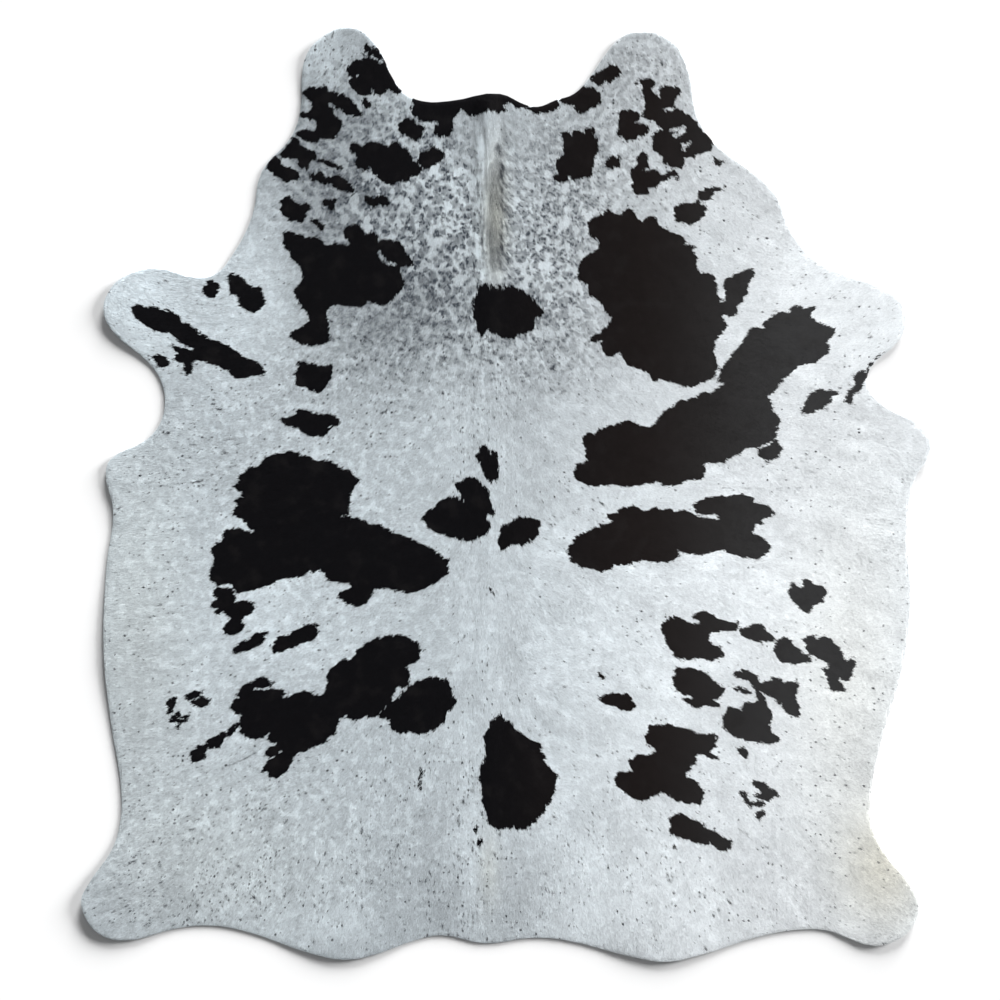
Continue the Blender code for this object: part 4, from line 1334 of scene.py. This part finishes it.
# %% [markdown]
# ## Five pieces of coat
# A hair takes its colour from the place part way along it, where it shows between its neighbours. A real hair
# is round and lies in a dense coat, so it never shades like a tilted flake. The normals of each triangle are
# turned most of the way up, which keeps the fine grain of the coat without harsh glints.

# %% Join the hairs into five pieces
SHOWS_AT = 0.55
MANE_SHOWS_ROOT = 0.6
UPRIGHT = 9.0
COAT_PARTS = ("coat_rump", "coat_belly", "coat_flanks", "coat_shoulders", "coat_neck")

strand = hair_random.uniform(0, 1, HAIRS)
shown_at = length * SHOWS_AT * (1 - MANE_SHOWS_ROOT * mane_share)
shown_x = root_x + aim_x * shown_at
shown_y = root_y + aim_y * shown_at


def upright_normals(triangles):
    """The normals of the triangles, turned most of the way up."""
    sides = triangles[:, 1:] - triangles[:, :1]
    facing = np.cross(sides[:, 0], sides[:, 1])
    facing /= np.linalg.norm(facing, axis=1, keepdims=True)
    facing[:, 2] += UPRIGHT
    return facing / np.linalg.norm(facing, axis=1, keepdims=True)


def joined_hairs(name, chosen):
    """One piece of the chosen hairs, a triangle each, with a flat map from above."""
    count = chosen.size
    mesh = bpy.data.meshes.new(name)
    mesh.vertices.add(count * 3)
    mesh.vertices.foreach_set("co", corners[chosen].ravel())
    mesh.loops.add(count * 3)
    mesh.loops.foreach_set("vertex_index", np.arange(count * 3, dtype=np.int32))
    mesh.polygons.add(count)
    mesh.polygons.foreach_set("loop_start", np.arange(0, count * 3, 3, dtype=np.int32))
    mesh.update(calc_edges=True)
    mesh.normals_split_custom_set_from_vertices(np.repeat(upright_normals(corners[chosen]), 3, axis=0))
    set_markings(mesh, shown_x[chosen], shown_y[chosen], repeat=3)
    set_attribute(mesh, "strand", np.repeat(strand[chosen], 3))
    flat = corners[chosen][:, :, :2].reshape(-1, 2)
    low, high = flat.min(0), flat.max(0)
    bake_map = mesh.uv_layers.new(name="OFBake")
    bake_map.data.foreach_set("uv", ((flat - low) / (high - low)).astype(np.float32).ravel())
    return new_object(name, mesh)


tail_to_neck = np.array_split(np.argsort(root_y, kind="stable"), len(COAT_PARTS))
coat = [joined_hairs(name, chosen) for name, chosen in zip(COAT_PARTS, tail_to_neck)]
print({piece.name: len(piece.data.polygons) for piece in coat})

# %% [markdown]
# ## The hide's colours, as a shared group of nodes
# Skin and hairs have the same markings, so one node group turns the attributes into a colour. A few helpers
# keep the groups short: each adds one node, links or sets what goes in, and returns what comes out. The Mix
# node has sockets of the same names for numbers and for colours, so its colour sockets are called by number.

# %% Helpers for the nodes
MIX_SHARE, MIX_FIRST, MIX_SECOND, MIX_COLOUR = 0, 6, 7, 2


def put(tree, socket, value):
    """Links an output to a socket, or sets its value."""
    if isinstance(value, bpy.types.NodeSocket):
        tree.links.new(value, socket)
    else:
        socket.default_value = value


def add_node(tree, kind, settings=None, **inputs):
    """Adds a node with its settings, and links or sets its inputs by name or number."""
    node = tree.nodes.new(kind)
    for name, value in (settings or {}).items():
        setattr(node, name, value)
    for name, value in inputs.items():
        put(tree, node.inputs[int(name[1:]) if name[0] == "_" else name], value)
    return node


def math_of(tree, operation, first, second):
    """One Math node."""
    return add_node(tree, "ShaderNodeMath", {"operation": operation}, _0=first, _1=second).outputs[0]


def times(tree, first, second):
    """One value times another."""
    return math_of(tree, "MULTIPLY", first, second)


def less(tree, first, second):
    """One value less another."""
    return math_of(tree, "SUBTRACT", first, second)


def added(tree, value, share, amount):
    """The value plus an amount of the share."""
    node = add_node(tree, "ShaderNodeMath", {"operation": "MULTIPLY_ADD"}, _0=share, _1=amount, _2=value)
    return node.outputs[0]


def stepped(tree, value, limits, ends=(0.0, 1.0)):
    """A soft step of a value between two limits, from one end to the other."""
    node = add_node(tree, "ShaderNodeMapRange", {"interpolation_type": "SMOOTHSTEP"}, _0=value)
    for name, setting in zip(("From Min", "From Max", "To Min", "To Max"), (*limits, *ends)):
        node.inputs[name].default_value = setting
    return node.outputs[0]


def blended(tree, share, first, second, kind="MIX"):
    """One colour mix."""
    node = add_node(tree, "ShaderNodeMix", {"data_type": "RGBA", "blend_type": kind})
    for number, value in ((MIX_SHARE, share), (MIX_FIRST, first), (MIX_SECOND, second)):
        put(tree, node.inputs[number], value)
    return node.outputs[MIX_COLOUR]


def noise_of(tree, where, per_metre, detail, dimensions="2D"):
    """Soft noise about 0.5, with so many bumps in a metre."""
    settings = {"noise_dimensions": dimensions}
    noise = add_node(tree, "ShaderNodeTexNoise", settings, Vector=where, Scale=per_metre, Detail=detail)
    return noise.outputs[0]


print("node helpers are ready")

# %% [markdown]
# A group has sockets of its own. The markings group is told a place and every marking there, and gives the
# colour of the hair and how much of it is dark hair, which is glossier.

# %% The sockets of the markings group
FLOAT, COLOUR, VECTOR = "NodeSocketFloat", "NodeSocketColor", "NodeSocketVector"
MARKS = {
    "patch": "Patch", "whiteness": "Whiteness", "cream": "Cream", "ticked": "Ticked", "mottled": "Mottled",
    "flecked": "Flecked", "speckled": "Speckled", "strand": "Strand",
}


def group_of(name, takes, gives):
    """A new node group with these sockets. Returns it, with the outputs and inputs to use inside it."""
    group = bpy.data.node_groups.new(name, "ShaderNodeTree")
    for in_out, sockets in (("INPUT", takes), ("OUTPUT", gives)):
        for socket, kind in sockets.items():
            group.interface.new_socket(socket, in_out=in_out, socket_type=kind)
    return group, add_node(group, "NodeGroupInput").outputs, add_node(group, "NodeGroupOutput").inputs


told_sockets = {"Place": VECTOR, **dict.fromkeys(MARKS.values(), FLOAT)}
markings, told, given = group_of("hide_markings", told_sockets, {"Colour": COLOUR, "Dark": FLOAT})
place = told["Place"]
side = add_node(markings, "ShaderNodeSeparateXYZ", _0=place).outputs[0]
print("the group of markings takes", len(told_sockets), "things")

# %% [markdown]
# Dark hair isn't one black. It is blue-black on the left, turns browner and lighter from the spine to the
# right, and is a paler grey on the right flank, partly faded hair and partly painted light from the upper
# right. Here and there its tips are worn to brown. The sides are given in metres from the middle, and the edges
# of the patches get fine teeth.

# %% Dark hair
BLUE_BLACK = (0.0030, 0.0030, 0.0042, 1)
BROWN_BLACK = (0.0120, 0.0090, 0.0085, 1)
FADED_BLACK_WITH_PAINTED_LIGHT = (0.0400, 0.0400, 0.0410, 1)
WORN_TIP = (0.020, 0.018, 0.018, 1)
BROWN_SIDE = (-0.1, 0.35)
FADED_AND_PAINTED_LIGHT_SIDE = (0.28, 0.68)
WORN_A_METRE = 22.0
WORN_FROM = (0.50, 0.76)
WORN_DEPTH = (0.0, 0.25)
STRAND_WORN = 0.15
TEETH_A_METRE = 260.0
TEETH_DEPTH = 8 * MM
PATCH_EDGE = (-0.2 * MM, 0.2 * MM)

dark = blended(markings, stepped(markings, side, BROWN_SIDE), BLUE_BLACK, BROWN_BLACK)
# Toward the right flank the dark hair pales: partly faded hair, partly painted light.
dark = blended(markings, stepped(markings, side, FADED_AND_PAINTED_LIGHT_SIDE), dark, FADED_BLACK_WITH_PAINTED_LIGHT)
worn = stepped(markings, noise_of(markings, place, WORN_A_METRE, detail=3.0), WORN_FROM, WORN_DEPTH)
dark = blended(markings, added(markings, worn, told["Strand"], STRAND_WORN), dark, WORN_TIP)
teeth = less(markings, noise_of(markings, place, TEETH_A_METRE, detail=1.0), 0.5)
patch_share = stepped(markings, added(markings, told["Patch"], teeth, TEETH_DEPTH), PATCH_EDGE)
print("dark hair goes from blue-black on the left to faded grey on the right")

# %% [markdown]
# The neck is ticked: soft spots with a few small dark hearts in them, larger left of the spine than right of
# it, on a whiter net, and pale blotches with no spots between them. Voronoi cells make the spots and the
# hearts, one to a cell, and a random number for each cell makes some of them fainter. A wobble of the places
# keeps the cells from looking round.

# %% Spots and hearts of the ticked neck
LARGE_SPOTS_A_METRE = 62.0
SMALL_SPOTS_A_METRE = 80.0
HEARTS_TO_A_SPOT = 2.1
SPOT_UNEVEN = 0.28
SPOT_FADES = (0.40, 0.90)
HEART_FADES = (0.22, 0.66)
HEART_CHANCE = (0.20, 0.80)
HEART_OFF_SPOT = 0.3
WOBBLES_A_METRE = 55.0
WOBBLE = 16 * MM


def cells_of(tree, where, per_metre):
    """Cells at random: the distance to the nearest middle, in cells, and three random numbers for each."""
    settings = {"voronoi_dimensions": "2D"}
    cells = add_node(tree, "ShaderNodeTexVoronoi", settings, Vector=where, Scale=per_metre)
    chances = add_node(tree, "ShaderNodeSeparateColor", _0=cells.outputs["Color"])
    return cells.outputs["Distance"], *chances.outputs


def spots_of(tree, where, per_metre):
    """Soft spots, one in each cell, with a few small dark hearts in each. Returns spots and hearts."""
    distance, chance, *_ = cells_of(tree, where, per_metre)
    spot = stepped(tree, added(tree, distance, chance, SPOT_UNEVEN), SPOT_FADES, (1.0, 0.0))
    distance, chance, *_ = cells_of(tree, where, per_metre * HEARTS_TO_A_SPOT)
    heart = stepped(tree, distance, HEART_FADES, (1.0, 0.0))
    heart = times(tree, heart, stepped(tree, chance, HEART_CHANCE))
    return spot, times(tree, heart, added(tree, HEART_OFF_SPOT, spot, 1 - HEART_OFF_SPOT))


wobble = add_node(
    markings, "ShaderNodeTexNoise", {"noise_dimensions": "2D"}, Vector=place, Scale=WOBBLES_A_METRE)
spot_place = add_node(
    markings, "ShaderNodeVectorMath", {"operation": "MULTIPLY_ADD"},
    _0=wobble.outputs["Color"], _1=(WOBBLE, WOBBLE, 0), _2=place).outputs[0]
large_ticks = spots_of(markings, spot_place, LARGE_SPOTS_A_METRE)
small_ticks = spots_of(markings, spot_place, SMALL_SPOTS_A_METRE)
print("spots in a metre:", LARGE_SPOTS_A_METRE, "on the left,", SMALL_SPOTS_A_METRE, "on the right")

# %% [markdown]
# The larger spots count left of the spine and the smaller ones right of it. Where the neck is bare of spots,
# both are taken away, and so are they wherever the hide isn't ticked.

# %% The ticking as one share
BARE_A_METRE = 34.0
BARE_FROM = (0.57, 0.63)
FINER_SIDE = (-0.05, 0.0)
SPOT_DEPTH = 0.40
HEART_DEPTH = 0.95

bare = stepped(markings, noise_of(markings, place, BARE_A_METRE, detail=3.0), BARE_FROM)
not_bare = less(markings, 1.0, bare)
finer = stepped(markings, side, FINER_SIDE)
ticks = []
for large, small in zip(large_ticks, small_ticks):
    tick = add_node(markings, "ShaderNodeMix", _0=finer, A=large, B=small).outputs[0]
    ticks.append(times(markings, tick, not_bare))
spots, hearts = ticks
net = times(markings, less(markings, 1.0, spots), told["Ticked"])
spots = added(markings, times(markings, spots, SPOT_DEPTH), hearts, HEART_DEPTH)
spots = times(markings, spots, told["Ticked"])
print("a spot is", SPOT_DEPTH, "grey, and a heart", HEART_DEPTH, "more")

# %% [markdown]
# How white a pale hair is starts from the painted tone. Each strand differs a little from the next, and a
# fine grain runs over all. The net between the spots is whiter. Elsewhere there are soft white clouds and a
# smaller mottling, where the hide is mottled.

# %% How white each pale hair is
STRAND_WAVE = 0.06
GRAINS_A_METRE = 300.0
GRAIN_DEPTH = 0.34
NET_WHITER = 0.24
CLOUDS_A_METRE = 48.0
CLOUD_FROM = (0.45, 0.72)
CLOUD_DEPTH = 0.21
MOTTLE_A_METRE = 150.0
MOTTLE_MIDDLE = 0.52
MOTTLE_DEPTH = 0.38

strand_wave = less(markings, told["Strand"], MIDDLE_STRAND)
grain = less(markings, noise_of(markings, place, GRAINS_A_METRE, detail=1.0), 0.5)
clouds = stepped(markings, noise_of(markings, place, CLOUDS_A_METRE, detail=2.0), CLOUD_FROM)
clouds = times(markings, clouds, told["Mottled"])
mottle = less(markings, noise_of(markings, place, MOTTLE_A_METRE, detail=2.0), MOTTLE_MIDDLE)
mottle = times(markings, mottle, told["Mottled"])
white_share = told["Whiteness"]
for share, amount in (
        (strand_wave, STRAND_WAVE), (grain, GRAIN_DEPTH), (net, NET_WHITER),
        (clouds, CLOUD_DEPTH), (mottle, MOTTLE_DEPTH)):
    white_share = added(markings, white_share, share, amount)
print("the grain has", GRAINS_A_METRE, "bumps in a metre")

# %% [markdown]
# Flecks are small round dark spots of a few hairs. Each Voronoi cell holds one or none: the painted share of
# flecks is the chance of it. The longer specks come from the painted field.

# %% Flecks
FLECKS_A_METRE = 92.0
FLECK_SMALLEST = 0.10
FLECK_SPREAD = 0.15
FLECK_FAINTEST = 0.2

distance, chance, size, strength = cells_of(markings, place, FLECKS_A_METRE)
radius = added(markings, FLECK_SMALLEST, size, FLECK_SPREAD)
is_near = math_of(markings, "LESS_THAN", distance, radius)
is_there = math_of(markings, "LESS_THAN", chance, told["Flecked"])
fleck = times(markings, is_near, is_there)
fleck = times(markings, fleck, added(markings, FLECK_FAINTEST, strength, 1 - FLECK_FAINTEST))
fleck = math_of(markings, "MAXIMUM", fleck, told["Speckled"])
print("there is room for", round((FLECKS_A_METRE / 10) ** 2), "flecks in a square of 10 cm")

# %% [markdown]
# Last, the pale hair is coloured: from grey to white, with painted shade making it cooler on the left and
# painted light making it whiter on the right, with a cream tint, and with the spots and flecks over it. Where a
# patch is, the dark hair takes its place.

# %% All markings together
GREY_HAIR = (0.055, 0.062, 0.074, 1)
WHITE_HAIR = (0.93, 0.965, 0.985, 1)
SHADED_COOL_WHITE_HAIR = (0.865, 0.95, 0.995, 1)
CREAM_TINT = (1.0, 0.95, 0.84, 1)
SPOT_GREY = (0.060, 0.072, 0.090, 1)
FLECK_GREY = (0.035, 0.038, 0.045, 1)
PAINTED_SHADE_TO_LIGHT_SIDE = (-0.3, 0.7)

# The left half is painted cooler as shade, and the right half whiter as painted light.
whitest_with_painted_shade = blended(markings, stepped(markings, side, PAINTED_SHADE_TO_LIGHT_SIDE), SHADED_COOL_WHITE_HAIR, WHITE_HAIR)
pale = blended(markings, white_share, GREY_HAIR, whitest_with_painted_shade)
creamy = blended(markings, 1.0, pale, CREAM_TINT, "MULTIPLY")
pale = blended(markings, told["Cream"], pale, creamy)
pale = blended(markings, spots, pale, SPOT_GREY)
pale = blended(markings, fleck, pale, FLECK_GREY)
put(markings, given["Colour"], blended(markings, patch_share, pale, dark))
put(markings, given["Dark"], patch_share)
print("the group has", len(markings.nodes), "nodes")

# %% [markdown]
# ## The coat's finish
# Hair is glossy along its length and dull across, which at this size reads as a soft sheen, so the coat has a
# middling roughness and little shine, and the dark hairs are a little glossier than the pale ones.

# %% Materials of the coat and of the skin under it
HAIR_ROUGHNESS = (0.65, 0.6)
ROOTS_ROUGHNESS = (0.8, 0.7)
COAT_SHINE = 0.06


def marked_material(name, roughness):
    """A material coloured by the shared markings, with the roughness of pale and of dark hair."""
    material, tree, shader = new_material(name)
    group = add_node(tree, "ShaderNodeGroup", {"node_tree": markings})
    for attribute, socket in {**MARKS, "place": "Place"}.items():
        known = add_node(tree, "ShaderNodeAttribute", {"attribute_name": attribute})
        put(tree, group.inputs[socket], known.outputs["Vector" if attribute == "place" else "Fac"])
    put(tree, shader.inputs["Roughness"], stepped(tree, group.outputs["Dark"], (0.0, 1.0), roughness))
    put(tree, shader.inputs["Base Color"], group.outputs["Colour"])
    shader.inputs["Specular IOR Level"].default_value = COAT_SHINE
    return material


hair_finish = marked_material("coat_hair", HAIR_ROUGHNESS)
roots_finish = marked_material("coat_roots", ROOTS_ROUGHNESS)
for piece in coat:
    piece.data.materials.append(hair_finish)
print("the coat and its roots have", len(MARKS) + 1, "attributes to read")

# %% [markdown]
# ## Suede underside and cut edge
# The underside is buffed leather, soft and pale with a fine nap. The cut edge shows the leather's own pale
# middle. Both are clouds of two colours under the same nap, so they share a group too.

# %% The leather group
LEATHER_CLOUDS = (0.35, 0.65)
NAP_A_METRE = 420.0
NAP_FROM = (0.3, 0.7)
NAP_DARKENS = (0.0, 0.35)
LEATHER_ROUGHNESS = (0.82, 0.95)
NAP_DEPTH = 0.25
NAP_HEIGHT = 0.5 * MM

leather, leather_told, leather_given = group_of(
    "leather", {"Pale": COLOUR, "Deep": COLOUR, "Clouds a metre": FLOAT},
    {"Colour": COLOUR, "Roughness": FLOAT, "Normal": VECTOR})
leather_place = add_node(leather, "ShaderNodeTexCoord").outputs["Object"]
leather_clouds = noise_of(leather, leather_place, leather_told["Clouds a metre"], detail=4.0, dimensions="3D")
nap = noise_of(leather, leather_place, NAP_A_METRE, detail=3.0, dimensions="3D")
leather_share = stepped(leather, leather_clouds, LEATHER_CLOUDS)
leather_tone = blended(leather, leather_share, leather_told["Deep"], leather_told["Pale"])
nap_share = stepped(leather, nap, NAP_FROM, NAP_DARKENS)
leather_tone = blended(leather, nap_share, leather_tone, leather_told["Deep"])
bump = add_node(leather, "ShaderNodeBump", Height=nap, Strength=NAP_DEPTH, Distance=NAP_HEIGHT)
put(leather, leather_given["Colour"], leather_tone)
put(leather, leather_given["Roughness"], stepped(leather, nap, NAP_FROM, LEATHER_ROUGHNESS))
put(leather, leather_given["Normal"], bump.outputs[0])
print("the leather group has", len(leather.nodes), "nodes")

# %% Underside and edge materials
SUEDE_PALE = (0.66, 0.60, 0.50, 1)
SUEDE_DEEP = (0.50, 0.43, 0.34, 1)
SUEDE_CLOUDS_A_METRE = 6.0
EDGE_PALE = (0.62, 0.60, 0.56, 1)
EDGE_DEEP = (0.36, 0.34, 0.31, 1)
EDGE_CLOUDS_A_METRE = 60.0
LEATHER_SHINE = 0.2


def leather_material(name, pale_colour, deep_colour, clouds_a_metre):
    """Plain leather with broad clouds and a fine nap."""
    material, tree, shader = new_material(name)
    group = add_node(tree, "ShaderNodeGroup", {"node_tree": leather})
    for socket, value in (("Pale", pale_colour), ("Deep", deep_colour), ("Clouds a metre", clouds_a_metre)):
        put(tree, group.inputs[socket], value)
    for socket, output in (("Base Color", "Colour"), ("Roughness", "Roughness"), ("Normal", "Normal")):
        put(tree, shader.inputs[socket], group.outputs[output])
    shader.inputs["Specular IOR Level"].default_value = LEATHER_SHINE
    return material


suede = leather_material("suede_underside", SUEDE_PALE, SUEDE_DEEP, SUEDE_CLOUDS_A_METRE)
cut_edge = leather_material("cut_edge", EDGE_PALE, EDGE_DEEP, EDGE_CLOUDS_A_METRE)
for material in (roots_finish, suede, cut_edge):
    skin_whole.materials.append(material)
print("skin materials:", [material.name for material in skin_whole.materials])

# %% [markdown]
# ## Fit the pieces to the imported part
# The skin stands for the imported hide, and the coat goes with it. All of it rides on the one body.

# %% Rides and the sheet
for piece in [skin, *coat]:
    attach(piece, "root")
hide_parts("hide")
print("the sheet is declared with", len(coat), "coat pieces")
